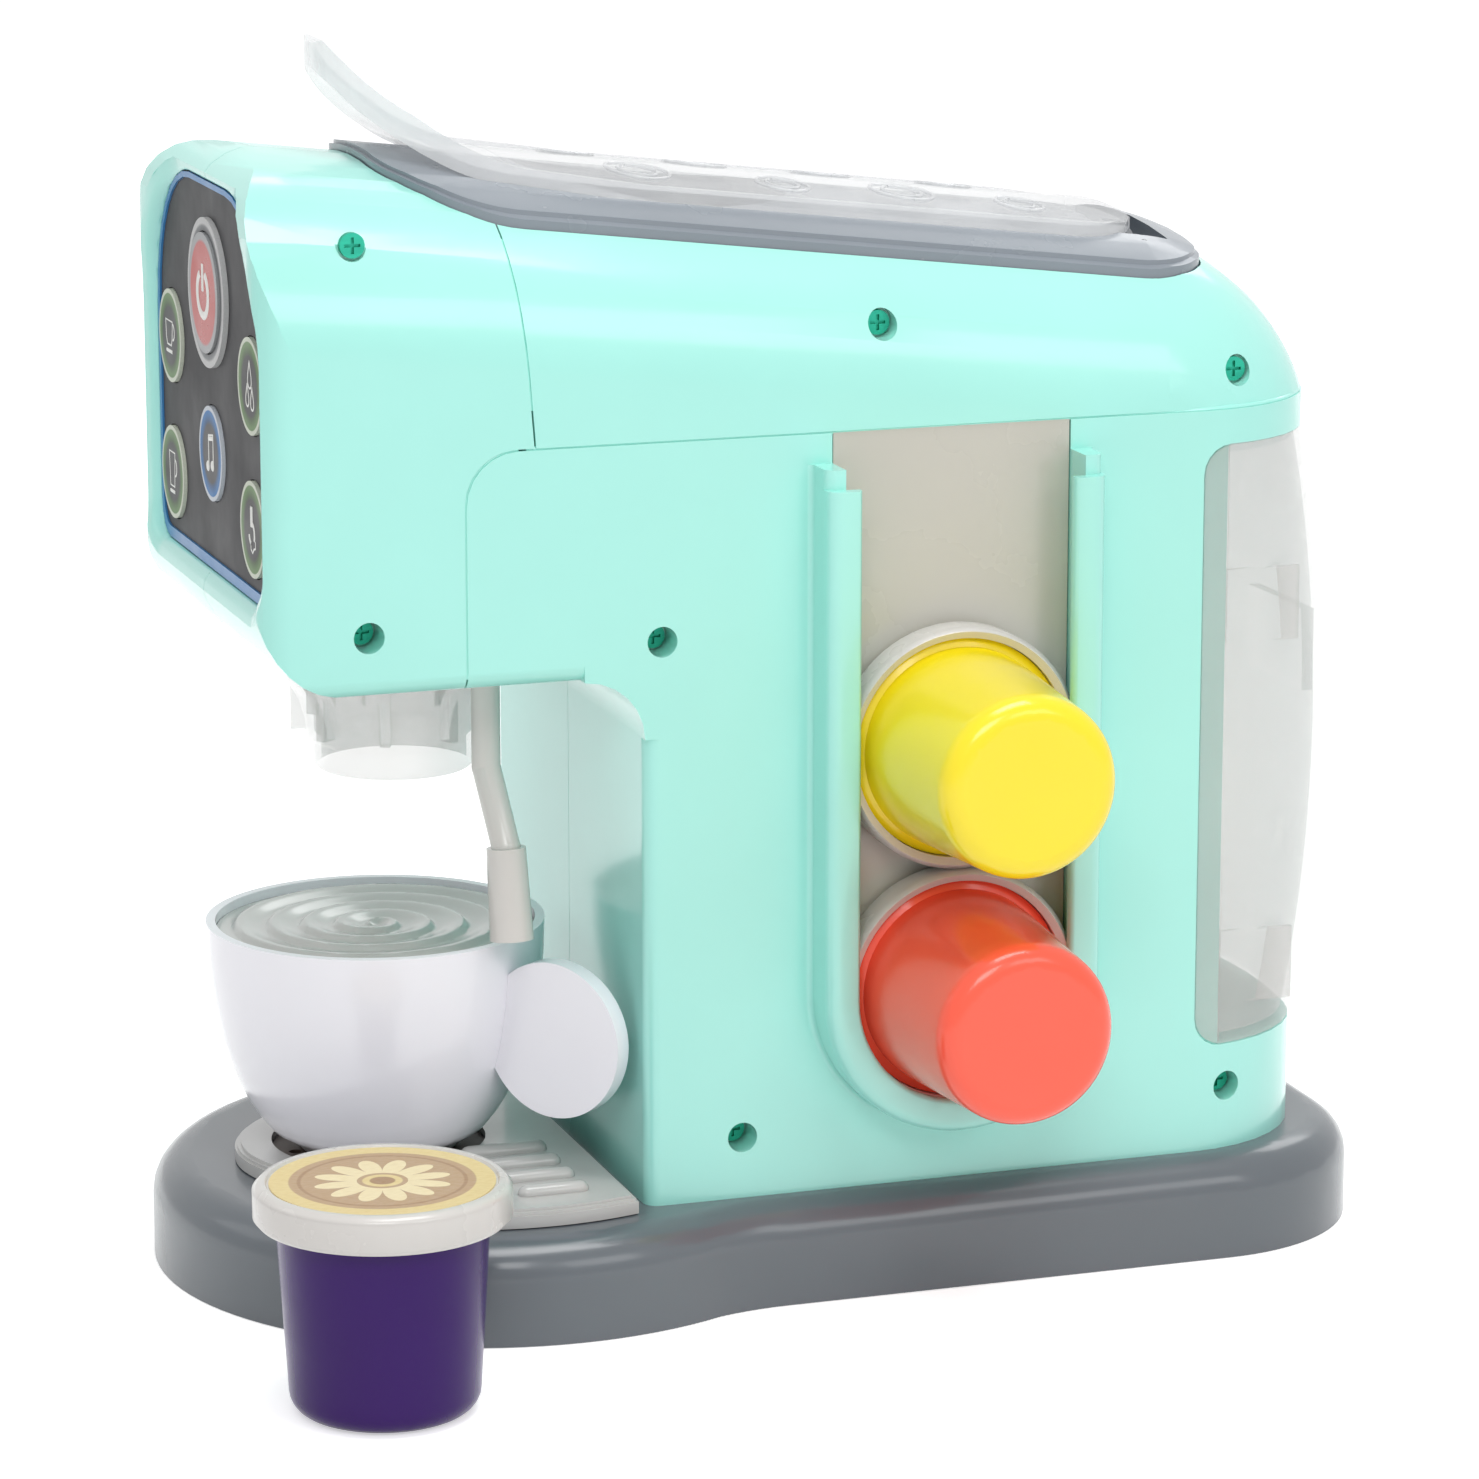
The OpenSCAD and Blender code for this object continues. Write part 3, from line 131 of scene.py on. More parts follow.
# name, place in metres, width in metres, power in watts
LAMPS = [
    ("key_lamp", (1.8, -0.6, 1.5), 1.0, 12.0),
    ("side_lamp", (1.7, 0.7, 1.1), 0.9, 4.2),
    ("front_lamp", (-0.9, -1.8, 1.3), 1.0, 2.0),
    ("top_lamp", (0.35, 0.1, 1.7), 0.9, 12.0),
    ("back_lamp", (-1.6, 1.2, 1.6), 1.2, 8.0),
]
for name, place, size, power in LAMPS:
    bpy.ops.object.light_add(type="AREA", location=place)
    lamp = bpy.context.object
    lamp.name = name
    lamp.data.shape = "RECTANGLE"
    lamp.data.size, lamp.data.size_y = size, size * LAMP_SHAPE
    lamp.data.energy = power
    aim = LAMP_AIM - Vector(place)
    lamp.rotation_euler = aim.to_track_quat("-Z", "Y").to_euler()
bpy.context.scene.view_settings.view_transform = "Standard"
print("lamps:", len(LAMPS))

# %% [markdown]
# Nearly all of the toy is moulded plastic, so one helper makes that finish. A real moulding is never one flat
# colour: the melt flows unevenly, the gloss drifts a little, and the surface has a faint orange peel under a fine
# grain. Four noise patterns in Object coordinates give those, at their real scale in metres, and everything that
# is the same all over stays a number on the shader.

# %% Moulded plastic


def plain(r, g, b):
    """A colour given in 0 to 255 as seen on a screen, as the shader wants it."""
    return tuple(
        c / 255 / 12.92 if c / 255 <= 0.04045 else ((c / 255 + 0.055) / 1.055) ** 2.4
        for c in (r, g, b)
    ) + (1.0,)


def toned(colour, share):
    return tuple(min(1.0, c * share) for c in colour[:3]) + (1.0,)


def noise(tree, place, scale, detail=2.0, stretch=None):
    pattern = tree.nodes.new("ShaderNodeTexNoise")
    pattern.inputs["Scale"].default_value = scale
    pattern.inputs["Detail"].default_value = detail
    if stretch:
        turn = tree.nodes.new("ShaderNodeMapping")
        turn.inputs["Scale"].default_value = stretch
        tree.links.new(place, turn.inputs["Vector"])
        place = turn.outputs["Vector"]
    tree.links.new(place, pattern.inputs["Vector"])
    return pattern.outputs["Fac"]


def spread(tree, value, low, high):
    fit = tree.nodes.new("ShaderNodeMapRange")
    fit.inputs["From Min"].default_value = 0.3
    fit.inputs["From Max"].default_value = 0.7
    fit.inputs["To Min"].default_value = low
    fit.inputs["To Max"].default_value = high
    tree.links.new(value, fit.inputs["Value"])
    return fit.outputs["Result"]


def blend(tree, factor, first, second):
    mix = tree.nodes.new("ShaderNodeMix")
    mix.data_type = "RGBA"
    for socket, value in (("A_Color", first), ("B_Color", second)):
        target = next(i for i in mix.inputs if i.identifier == socket)
        if isinstance(value, tuple):
            target.default_value = value
        else:
            tree.links.new(value, target)
    tree.links.new(factor, next(i for i in mix.inputs if i.identifier == "Factor_Float"))
    return next(o for o in mix.outputs if o.identifier == "Result_Color")


def bumped(tree, height, distance, strength, under=None):
    bump = tree.nodes.new("ShaderNodeBump")
    bump.inputs["Distance"].default_value = distance
    bump.inputs["Strength"].default_value = strength
    tree.links.new(height, bump.inputs["Height"])
    if under:
        tree.links.new(under, bump.inputs["Normal"])
    return bump.outputs["Normal"]


def moulded(name, colour, rough=0.24, coat=0.0, flow=0.05, peel=0.12, grain=0.05, grain_scale=1500.0, shine=0.5):
    """A moulded finish: flow mottles the colour, peel and grain are bumps, shine is the specular level."""
    finish = bpy.data.materials.new(name)
    finish.use_nodes = True
    tree = finish.node_tree
    shader = tree.nodes["Principled BSDF"]
    place = tree.nodes.new("ShaderNodeTexCoord").outputs["Object"]
    melt = noise(tree, place, 14.0, 3.0)
    tone = blend(tree, spread(tree, melt, 0, 1), toned(colour, 1 - flow), toned(colour, 1 + flow))
    tree.links.new(tone, shader.inputs["Base Color"])
    drift = noise(tree, place, 45.0, 4.0)
    tree.links.new(spread(tree, drift, rough * 0.85, rough * 1.2), shader.inputs["Roughness"])
    waves = bumped(tree, noise(tree, place, 170.0, 1.0), 0.0004, peel)
    fine = bumped(tree, noise(tree, place, grain_scale, 2.0), 0.0001, grain, waves)
    tree.links.new(fine, shader.inputs["Normal"])
    shader.inputs["Coat Weight"].default_value = coat
    shader.inputs["Coat Roughness"].default_value = 0.08
    shader.inputs["Specular IOR Level"].default_value = shine
    finish.diffuse_color = colour
    return finish


MINT = plain(165, 233, 222)
SLATE = plain(96, 102, 108)
finishes = {
    "mint_gloss": moulded("mint_gloss", MINT, 0.2, 0.35, 0.025, 0.05, 0.02),
    "slate_gloss": moulded("slate_gloss", SLATE, 0.22, 0.15, 0.05, 0.08, 0.04),
    "slate_matte": moulded("slate_matte", plain(92, 100, 108), 0.55, 0.0, 0.06, 0.1, 0.3),
    "black_matte": moulded("black_matte", plain(48, 50, 52), 0.6, 0.0, 0.1, 0.1, 0.3),
    "brown_matte": moulded("brown_matte", plain(74, 58, 48), 0.5, 0.0, 0.15, 0.1, 0.25),
    "stone_gloss": moulded("stone_gloss", plain(192, 189, 180), 0.26, 0.2, 0.03, 0.08, 0.04),
    "pale_grey_gloss": moulded("pale_grey_gloss", plain(188, 188, 186), 0.2, 0.3, 0.04, 0.1, 0.03),
    "yellow_gloss": moulded("yellow_gloss", plain(250, 226, 26), 0.22, 0.25, 0.03, 0.06, 0.02),
    "coral_gloss": moulded("coral_gloss", plain(255, 92, 66), 0.22, 0.2, 0.03, 0.06, 0.02),
    "purple_gloss": moulded("purple_gloss", plain(48, 0, 94), 0.24, 0.0, 0.08, 0.06, 0.02, shine=0.25),
    "off_white_gloss": moulded("off_white_gloss", plain(208, 204, 200), 0.26, 0.15, 0.02, 0.08, 0.04),
    "white_gloss": moulded("white_gloss", plain(242, 241, 247), 0.18, 0.3, 0.015, 0.05, 0.02),
    "insert_grey": moulded("insert_grey", plain(198, 196, 193), 0.2, 0.3, 0.03, 0.05, 0.02),
    "cell_wrap": moulded("cell_wrap", plain(198, 146, 62), 0.3, 0.2, 0.05, 0.05, 0.05),
    "board_green": moulded("board_green", plain(46, 122, 78), 0.35, 0.1, 0.08, 0.1, 0.15),
}
print("moulded finishes:", len(finishes))

# %% [markdown]
# Screws, contacts and pins are plated steel. Turned metal shows fine rings or streaks, so the gloss of this
# finish is broken up by noise that is drawn out along one axis. The housing screws lie deep in mint wells, and their
# dark steel carries painted shade: the darker teal of the deep mint wells, which is not a colour of the steel.

# %% Plated steel


def plated(name, colour, rough):
    finish = bpy.data.materials.new(name)
    finish.use_nodes = True
    tree = finish.node_tree
    shader = tree.nodes["Principled BSDF"]
    shader.inputs["Metallic"].default_value = 1.0
    place = tree.nodes.new("ShaderNodeTexCoord").outputs["Object"]
    streaks = noise(tree, place, 900.0, 3.0, (1.0, 0.08, 0.5))
    tone = blend(tree, spread(tree, streaks, 0, 1), toned(colour, 0.82), toned(colour, 1.1))
    tree.links.new(tone, shader.inputs["Base Color"])
    tree.links.new(spread(tree, streaks, rough, rough + 0.2), shader.inputs["Roughness"])
    tree.links.new(bumped(tree, streaks, 0.0001, 0.2), shader.inputs["Normal"])
    return finish


finishes["steel_bright"] = plated("steel_bright", plain(200, 202, 206), 0.22)
# Painted shade: the housing screws are tinted the darker teal that the deep mint wells show in shade.
finishes["steel_dark"] = plated("steel_dark", plain(58, 176, 150), 0.45)
print("metals ready")

# %% [markdown]
# The lid and tank are clear plastic, and the tank and outlet are lightly frosted. Full glass would bend the view
# and need many samples, while thin moulded walls only veil what is behind them. So these surfaces are part
# transparent, by alpha, and their haze comes from roughness that drifts over the wall.

# %% Clear and frosted plastic


def see_through(name, colour, alpha, rough, haze):
    finish = bpy.data.materials.new(name)
    finish.use_nodes = True
    tree = finish.node_tree
    shader = tree.nodes["Principled BSDF"]
    place = tree.nodes.new("ShaderNodeTexCoord").outputs["Object"]
    cloud = noise(tree, place, 32.0, 4.0)
    tone = blend(tree, spread(tree, cloud, 0, 1), toned(colour, 0.95), toned(colour, 1.03))
    tree.links.new(tone, shader.inputs["Base Color"])
    tree.links.new(spread(tree, cloud, rough, rough + haze), shader.inputs["Roughness"])
    tree.links.new(bumped(tree, noise(tree, place, 120.0, 1.0), 0.0004, 0.1), shader.inputs["Normal"])
    shader.inputs["Alpha"].default_value = alpha
    shader.inputs["Specular IOR Level"].default_value = 0.8
    shader.inputs["Coat Weight"].default_value = 0.5
    shader.inputs["Coat Roughness"].default_value = 0.1
    return finish


finishes["clear_plastic"] = see_through("clear_plastic", plain(232, 234, 236), 0.42, 0.12, 0.15)
finishes["frosted_plastic"] = see_through("frosted_plastic", plain(208, 207, 204), 0.32, 0.25, 0.2)
print("see-through finishes ready")

# %% [markdown]
# The control panel carries a printed film. The dark film has a soft sheen and small creases, the trim is blue,
# and each button is printed with rings. A ring is a distance from the button's middle, so a Mapping node moves
# the middle to zero and drops the depth, a length gives the radius, and a colour ramp turns radius into ink.

# %% Printed films


def radius_from(tree, centre, flat):
    """Distance from an axis through centre, as a node output; flat is 0 on the axis's own direction."""
    place = tree.nodes.new("ShaderNodeTexCoord").outputs["Object"]
    shift = tree.nodes.new("ShaderNodeMapping")
    shift.inputs["Location"].default_value = [-c * f for c, f in zip(centre, flat)]
    shift.inputs["Scale"].default_value = flat
    tree.links.new(place, shift.inputs["Vector"])
    length = tree.nodes.new("ShaderNodeVectorMath")
    length.operation = "LENGTH"
    tree.links.new(shift.outputs["Vector"], length.inputs[0])
    return length.outputs["Value"], shift.outputs["Vector"], place


def ramp(tree, value, reach, stops):
    fit = tree.nodes.new("ShaderNodeMapRange")
    fit.inputs["From Max"].default_value = reach
    tree.links.new(value, fit.inputs["Value"])
    inks = tree.nodes.new("ShaderNodeValToRGB")
    for k, (at, colour) in enumerate(stops):
        stop = inks.color_ramp.elements[k] if k < 2 else inks.color_ramp.elements.new(1.0)
        stop.position = at * MM / reach
        stop.color = colour
    tree.links.new(fit.outputs["Result"], inks.inputs["Fac"])
    return inks.outputs["Color"]


def printed(name, centre, flat, reach, stops, rough=0.4):
    finish = bpy.data.materials.new(name)
    finish.use_nodes = True
    tree = finish.node_tree
    shader = tree.nodes["Principled BSDF"]
    radius, _, place = radius_from(tree, centre, flat)
    ink = ramp(tree, radius, reach, stops)
    speckle = noise(tree, place, 2600.0, 2.0)
    shade = blend(tree, spread(tree, speckle, 0, 1), PALE_GREY, WHITE)
    tint = tree.nodes.new("ShaderNodeMix")
    tint.data_type, tint.blend_type = "RGBA", "MULTIPLY"
    tint.inputs["Factor"].default_value = 1.0
    tree.links.new(ink, next(i for i in tint.inputs if i.identifier == "A_Color"))
    tree.links.new(shade, next(i for i in tint.inputs if i.identifier == "B_Color"))
    tree.links.new(next(o for o in tint.outputs if o.identifier == "Result_Color"), shader.inputs["Base Color"])
    tree.links.new(spread(tree, noise(tree, place, 90.0, 3.0), rough, rough + 0.12), shader.inputs["Roughness"])
    tree.links.new(bumped(tree, noise(tree, place, 240.0, 2.0), 0.0003, 0.1), shader.inputs["Normal"])
    shader.inputs["Specular IOR Level"].default_value = 0.25
    return finish


FILM = plain(60, 60, 62)
PALE = plain(206, 212, 196)
FRONT = (1, 0, 1)
KEY_REACH, POWER_REACH, LABEL_REACH = 0.014, 0.02, 0.032
GREEN_KEYS = ["cup_button", "mug_button", "drops_button", "steam_button"]


def middle(node):
    low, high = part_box(node)
    return (low + high) / 2


def key_print(node, band, outline):
    """Rings of ink by radius in mm: the dark middle, the coloured band and the pale outline."""
    inner = toned(FILM, 0.95)
    middle_rings = [(0, inner), (6.6, inner), (7.4, toned(band, 0.45))]
    band_rings = [(9.0, band), (9.7, toned(band, 1.1)), (9.9, outline), (12, outline)]
    return printed(node + "_print", middle(node), FRONT, KEY_REACH, middle_rings + band_rings)


films = {node: key_print(node, plain(98, 128, 82), PALE) for node in GREEN_KEYS}
films["music_button"] = key_print("music_button", plain(52, 112, 168), plain(200, 206, 214))
red, grey, pale = plain(186, 70, 66), plain(150, 152, 154), plain(196, 196, 196)
POWER_INKS = [(0, red), (11.4, red), (12.1, grey), (16, grey)]
RING_INKS = [(0, grey), (13.9, plain(96, 98, 100)), (15.0, plain(128, 130, 132)), (15.6, pale), (19, pale)]
films["power_button"] = printed("power_print", middle("power_button"), FRONT, POWER_REACH, POWER_INKS, 0.26)
films["power_ring"] = printed("power_ring_print", middle("power_ring"), FRONT, POWER_REACH, RING_INKS)
films["control_panel"] = moulded("panel_film", FILM, 0.5, 0.0, 0.08, 0.25, 0.05, 2200.0, 0.2)
films["lid_frame"] = moulded("frame_gloss", plain(131, 139, 147), 0.24, 0.1, 0.05, 0.08, 0.04)
films["wand_tube"] = films["wand_tip"] = moulded("wand_gloss", plain(208, 204, 200), 0.24, 0.25, 0.04, 0.08, 0.03)
films["panel_trim"] = moulded("blue_trim_film", plain(56, 124, 182), 0.36, 0.1, 0.12, 0.2, 0.05)
print("films:", len(films))

# %% [markdown]
# The loose capsule has a round paper label. It gets a generic print of its own: cream and tan rings round a
# twelve-leaved rosette, drawn by an angle and a radius, with the paper's own fibres in the gloss.

# %% Capsule label


LEAF_PAIRS, LEAF_ROUND, LEAF_LONG, LEAF_START, EYE_EDGE = 6.0, 0.6, 0.0085, 0.0065, 0.0055


def label_print(name, centre):
    finish = bpy.data.materials.new(name)
    finish.use_nodes = True
    tree = finish.node_tree
    shader = tree.nodes["Principled BSDF"]
    radius, vector, place = radius_from(tree, centre, (1, 1, 0))
    tan, cream, brown = plain(188, 156, 122), plain(228, 205, 146), plain(168, 132, 98)
    eye = [(0, brown), (2.6, brown), (2.9, cream), (4.2, cream), (4.5, tan)]
    border = [(17.4, tan), (17.7, brown), (18.2, brown), (18.5, tan), (20.0, tan), (20.3, cream), (30, cream)]
    rings = ramp(tree, radius, LABEL_REACH, eye + border)
    split = tree.nodes.new("ShaderNodeSeparateXYZ")
    tree.links.new(vector, split.inputs[0])

    def maths(kind, *values):
        step = tree.nodes.new("ShaderNodeMath")
        step.operation = kind
        for k, value in enumerate(values):
            if isinstance(value, (int, float)):
                step.inputs[k].default_value = value
            else:
                tree.links.new(value, step.inputs[k])
        return step.outputs[0]

    angle = maths("ARCTAN2", split.outputs["Y"], split.outputs["X"])
    leaf = maths("ABSOLUTE", maths("COSINE", maths("MULTIPLY", angle, LEAF_PAIRS)))
    edge = maths("MULTIPLY_ADD", maths("POWER", leaf, LEAF_ROUND), LEAF_LONG, LEAF_START)
    inside = maths("MULTIPLY", maths("LESS_THAN", radius, edge), maths("GREATER_THAN", radius, EYE_EDGE))
    art = blend(tree, inside, rings, plain(240, 222, 180))
    fibres = noise(tree, place, 1800.0, 4.0, (1.0, 0.3, 1.0))
    paper = blend(tree, maths("MULTIPLY", spread(tree, fibres, 0, 1), 0.12), art, brown)
    tree.links.new(paper, shader.inputs["Base Color"])
    tree.links.new(spread(tree, fibres, 0.3, 0.5), shader.inputs["Roughness"])
    tree.links.new(bumped(tree, fibres, 0.0001, 0.15), shader.inputs["Normal"])
    return finish


films["purple_label"] = label_print("label_rosette", middle("purple_label"))
print("label centre", [round(c, 4) for c in middle("purple_label")])

# %% [markdown]
# Now every CAD node takes its finish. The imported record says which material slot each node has, so the node's
# slots are filled from the finishes above, and the printed nodes take their own film instead.

# %% Dress the CAD nodes
slot_of = {part["node"]: part["material_slot"] for part in frame["record"]["subparts"]}
for name, node in nodes.items():
    finish = films.get(name) or finishes[slot_of[name]]
    if not node.data.materials:
        node.data.materials.append(finish)
    for k in range(len(node.data.materials)):
        node.data.materials[k] = finish
print("dressed:", len(nodes))

# %% [markdown]
# A mould leaves no hard facets. The CAD meshes are loose triangles that shade each face by itself, so a rolled edge
# that was drawn in steps shows bands. The meshes themselves stay untouched: a small geometry-nodes modifier joins
# the triangles, marks only true corners as sharp, and a Weighted Normal modifier lets the broad faces lead.

# %% Soften the moulded edges
CORNER = math.radians(50)


def edge_group():
    group = bpy.data.node_groups.new("moulded_edges", "GeometryNodeTree")
    group.interface.new_socket("Geometry", in_out="INPUT", socket_type="NodeSocketGeometry")
    group.interface.new_socket("Geometry", in_out="OUTPUT", socket_type="NodeSocketGeometry")
    start, end = group.nodes.new("NodeGroupInput"), group.nodes.new("NodeGroupOutput")
    plain_normals = group.nodes.new("GeometryNodeRemoveAttribute")
    plain_normals.inputs["Name"].default_value = "custom_normal"
    join = group.nodes.new("GeometryNodeMergeByDistance")
    join.inputs["Distance"].default_value = 2e-6
    faces = group.nodes.new("GeometryNodeSetShadeSmooth")
    edges = group.nodes.new("GeometryNodeSetShadeSmooth")
    edges.domain = "EDGE"
    edges.inputs["Shade Smooth"].default_value = False
    angle = group.nodes.new("GeometryNodeInputMeshEdgeAngle")
    sharp = group.nodes.new("FunctionNodeCompare")
    sharp.data_type, sharp.operation = "FLOAT", "GREATER_THAN"
    sharp.inputs["B"].default_value = CORNER
    group.links.new(angle.outputs["Unsigned Angle"], sharp.inputs["A"])
    group.links.new(sharp.outputs["Result"], edges.inputs["Selection"])
    chain = [start, plain_normals, join, faces, edges, end]
    for first, second in zip(chain, chain[1:]):
        group.links.new(first.outputs["Geometry"], second.inputs["Geometry"])
    return group


edge_marks = edge_group()


def soften(piece):
    piece.modifiers.new("moulded_edges", "NODES").node_group = edge_marks
    lead = piece.modifiers.new("broad_faces_lead", "WEIGHTED_NORMAL")
    lead.keep_sharp = True
    lead.weight = 60


for node in nodes.values():
    soften(node)
print("softened:", len(nodes))

# %% [markdown]
# The symbols on the keys are thin raised prints. Each is a few strokes: a path whose points lie in the front view,
# given a round section, made a mesh and pressed nearly flat. A stroke is easier to read and to change than a
# traced outline, and it keeps the same width everywhere. Strokes of one key are joined into one piece.

# %% Strokes
PIECE_CORNER, PRINT_FLAT = math.radians(40), 0.3


def stroke(points, radius, closed=False):
    """A round-sectioned path through points in metres, as a mesh object."""
    bpy.ops.object.select_all(action="DESELECT")
    bpy.ops.curve.primitive_nurbs_path_add()
    path = bpy.context.object
    path.data.splines.clear()
    run = path.data.splines.new("POLY")
    run.points.add(len(points) - 1)
    for point, place in zip(run.points, points):
        point.co = (*place, 1.0)
    run.use_cyclic_u = closed
    path.data.bevel_depth = radius
    path.data.bevel_resolution = 2
    path.data.use_fill_caps = True
    bpy.ops.object.convert(target="MESH")
    return bpy.context.object


def settle(piece, name, body, finish):
    """Gives a piece its name, finish and body, with its place in its mesh and nothing left on the object."""
    bpy.ops.object.select_all(action="DESELECT")
    piece.select_set(True)
    bpy.context.view_layer.objects.active = piece
    bpy.ops.object.transform_apply(location=True, rotation=True, scale=True)
    bpy.ops.object.shade_smooth_by_angle(angle=PIECE_CORNER)
    piece.name = name
    piece.data.name = name
    piece.data.materials.clear()
    piece.data.materials.append(finish)
    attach(piece, body)
    return piece


def joined(parts):
    bpy.ops.object.select_all(action="DESELECT")
    for part in parts:
        part.select_set(True)
    bpy.context.view_layer.objects.active = parts[0]
    if len(parts) > 1:
        bpy.ops.object.join()
    return parts[0]


def on_key(node, shapes):
    """Draws strokes on the face of a key. A shape is (points across and up in mm, radius in mm, closed)."""
    face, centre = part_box(node)[0].y, middle(node)
    parts = []
    for points, radius, closed in shapes:
        places = [(centre.x + u * MM, face, centre.z + v * MM) for u, v in points]
        parts.append(stroke(places, radius * MM, closed))
    piece = joined(parts)
    for vertex in piece.data.vertices:
        vertex.co.y = face + (vertex.co.y - face) * PRINT_FLAT
    return piece


def sweep(u, v, r, start, end, steps=28, squeeze=1.0):
    turns = [math.radians(start + (end - start) * k / steps) for k in range(steps + 1)]
    return [(u + r * math.cos(t), v + r * squeeze * math.sin(t)) for t in turns]


def drop(u, v, size, steps=32):
    turns = [2 * math.pi * k / steps for k in range(steps)]
    return [(u + size * 0.8 * math.sin(t) * math.sin(t / 2) ** 1.6, v + size * math.cos(t)) for t in turns]


print("stroke helpers ready")

# %% [markdown]
# Six keys, six symbols: the broken ring for power, a low cup, a tall mug, three drops, a spout that pours, and a
# pair of notes. The notes' heads and the power mark are fat strokes, the others are fine lines.

# %% Key symbols
PRINT_WHITE = moulded("print_white", plain(226, 226, 222), 0.35, 0.0, 0.03, 0.1, 0.1)
FINE = 0.26
SYMBOLS = {
    "power_button": [(sweep(0, -0.2, 5.0, 118, 422, 40), 0.95, False), ([(0, 0.4), (0, 6.6)], 0.8, False)],
    "cup_button": [
        ([(-3.9, 3.4), (2.7, 3.4), (2.2, -0.6), (1.3, -2.2), (-2.5, -2.2), (-3.4, -0.6)], FINE, True),
        (sweep(2.6, 1.1, 1.9, 75, -80, 16), FINE, False),
        ([(-3.4, -3.7), (2.2, -3.7)], 0.42, False),
    ],
    "mug_button": [
        ([(-3.1, 4.6), (2.4, 4.6), (1.7, -3.4), (-2.4, -3.4)], FINE, True),
        (sweep(2.0, 1.2, 2.0, 72, -75, 16), FINE, False),
        ([(-2.6, -4.7), (1.9, -4.7)], 0.42, False),
    ],
    "drops_button": [
        (drop(0.2, 2.6, 3.0), FINE, True),
        (drop(-2.0, -2.2, 2.5), FINE, True),
        (drop(2.3, -2.5, 2.5), FINE, True),
    ],
    "steam_button": [
        ([(-0.2, 5.2), (-0.2, 0.6)], 0.85, False),
        (sweep(-0.2, -1.0, 2.4, 100, -30, 20), 0.5, False),
        (sweep(-0.2, -1.0, 2.4, 190, 250, 12), 0.5, False),
        ([(-2.8, -2.4), (-1.4, -3.2), (-1.2, -4.6), (0.2, -5.2), (1.4, -4.2), (2.9, -3.8), (2.8, -2.2)], FINE, False),
    ],
    "music_button": [
        ([(-1.6, -3.0), (-1.6, 4.0), (2.6, 4.6), (2.6, -2.4)], 0.32, False),
        ([(-1.6, 3.2), (2.6, 3.8)], 0.5, False),
        (sweep(-2.5, -3.2, 0.62, 0, 360, 14, 0.8), 0.75, True),
        (sweep(1.7, -2.6, 0.62, 0, 360, 14, 0.8), 0.75, True),
    ],
}
for node, shapes in SYMBOLS.items():
    symbol, key_body = node.replace("button", "symbol"), node.replace("button", "key")
    mark = settle(on_key(node, shapes), symbol, key_body, PRINT_WHITE)
    print(mark.name, len(mark.data.polygons), "faces")

# %% [markdown]
# The cup holds a fixed insert whose top is one long swirl, like stirred milk: each turn rises to a soft ridge and
# then falls away in a small step. A disc of rings is drawn inwards by extrude and resize, as by hand, and then its
# points are lifted by a formula of angle and radius, because no modelling tool draws such a spiral evenly.

# %% Swirled insert
SWIRL_CLIMB, SWIRL_PITCH, SWIRL_DEPTH, SWIRL_CENTRE = 0.8, 0.0078, 0.0013, 0.003
INSERT_RINGS, INSERT_SIDES, INSERT_SKIRT, INSERT_RISE = 64, 144, 0.0016, 0.0014


def disc_of_rings(radius, rings, sides):
    """A flat round disc of quads, made by extruding a circle inwards ring by ring."""
    bpy.ops.object.select_all(action="DESELECT")
    bpy.ops.mesh.primitive_circle_add(vertices=sides, radius=radius, location=(0, 0, 0))
    disc = bpy.context.object
    bpy.ops.object.mode_set(mode="EDIT")
    bpy.ops.mesh.select_all(action="SELECT")
    for k in range(1, rings):
        share = (rings - k) / (rings - k + 1)
        bpy.ops.mesh.extrude_edges_move()
        bpy.ops.transform.resize(value=(share, share, 1), center_override=(0, 0, 0))
    bpy.ops.mesh.edge_face_add()
    bpy.ops.object.mode_set(mode="OBJECT")
    return disc


def swirl_height(radius, angle, pitch, depth, centre):
    """Height of a swirl: within a turn it climbs slowly outwards, then drops over the last fifth."""
    turn = (radius / pitch - angle / (2 * math.pi)) % 1.0
    if turn < SWIRL_CLIMB:
        climb = 0.5 - 0.5 * math.cos(math.pi * turn / SWIRL_CLIMB)
    else:
        climb = 0.5 + 0.5 * math.cos(math.pi * (turn - SWIRL_CLIMB) / 0.2)
    return depth * climb * min(1.0, radius / centre)


low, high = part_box("cup_insert")
insert_r = (high.x - low.x) / 2
insert = disc_of_rings(insert_r, INSERT_RINGS, INSERT_SIDES)
for vertex in insert.data.vertices:
    r, a = math.hypot(vertex.co.x, vertex.co.y), math.atan2(vertex.co.y, vertex.co.x)
    fade = min(1.0, (insert_r - r) / INSERT_SKIRT)
    vertex.co.z = swirl_height(r, -a, SWIRL_PITCH, SWIRL_DEPTH, SWIRL_CENTRE) * fade
bpy.ops.object.mode_set(mode="EDIT")
bpy.ops.mesh.select_all(action="DESELECT")
bpy.ops.mesh.select_non_manifold()
bpy.ops.mesh.extrude_edges_move(TRANSFORM_OT_translate={"value": (0, 0, -INSERT_SKIRT)})
bpy.ops.transform.resize(value=(0.985, 0.985, 1), center_override=(0, 0, 0))
bpy.ops.mesh.edge_face_add()
bpy.ops.mesh.select_all(action="SELECT")
bpy.ops.mesh.normals_make_consistent(inside=False)
bpy.ops.object.mode_set(mode="OBJECT")
insert.location = ((low.x + high.x) / 2, (low.y + high.y) / 2, high.z + INSERT_RISE)
settle(insert, "insert_swirl", "mug", finishes["insert_grey"])
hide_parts("cup_insert")
print("insert radius", round(insert_r * 1000, 1), "mm")

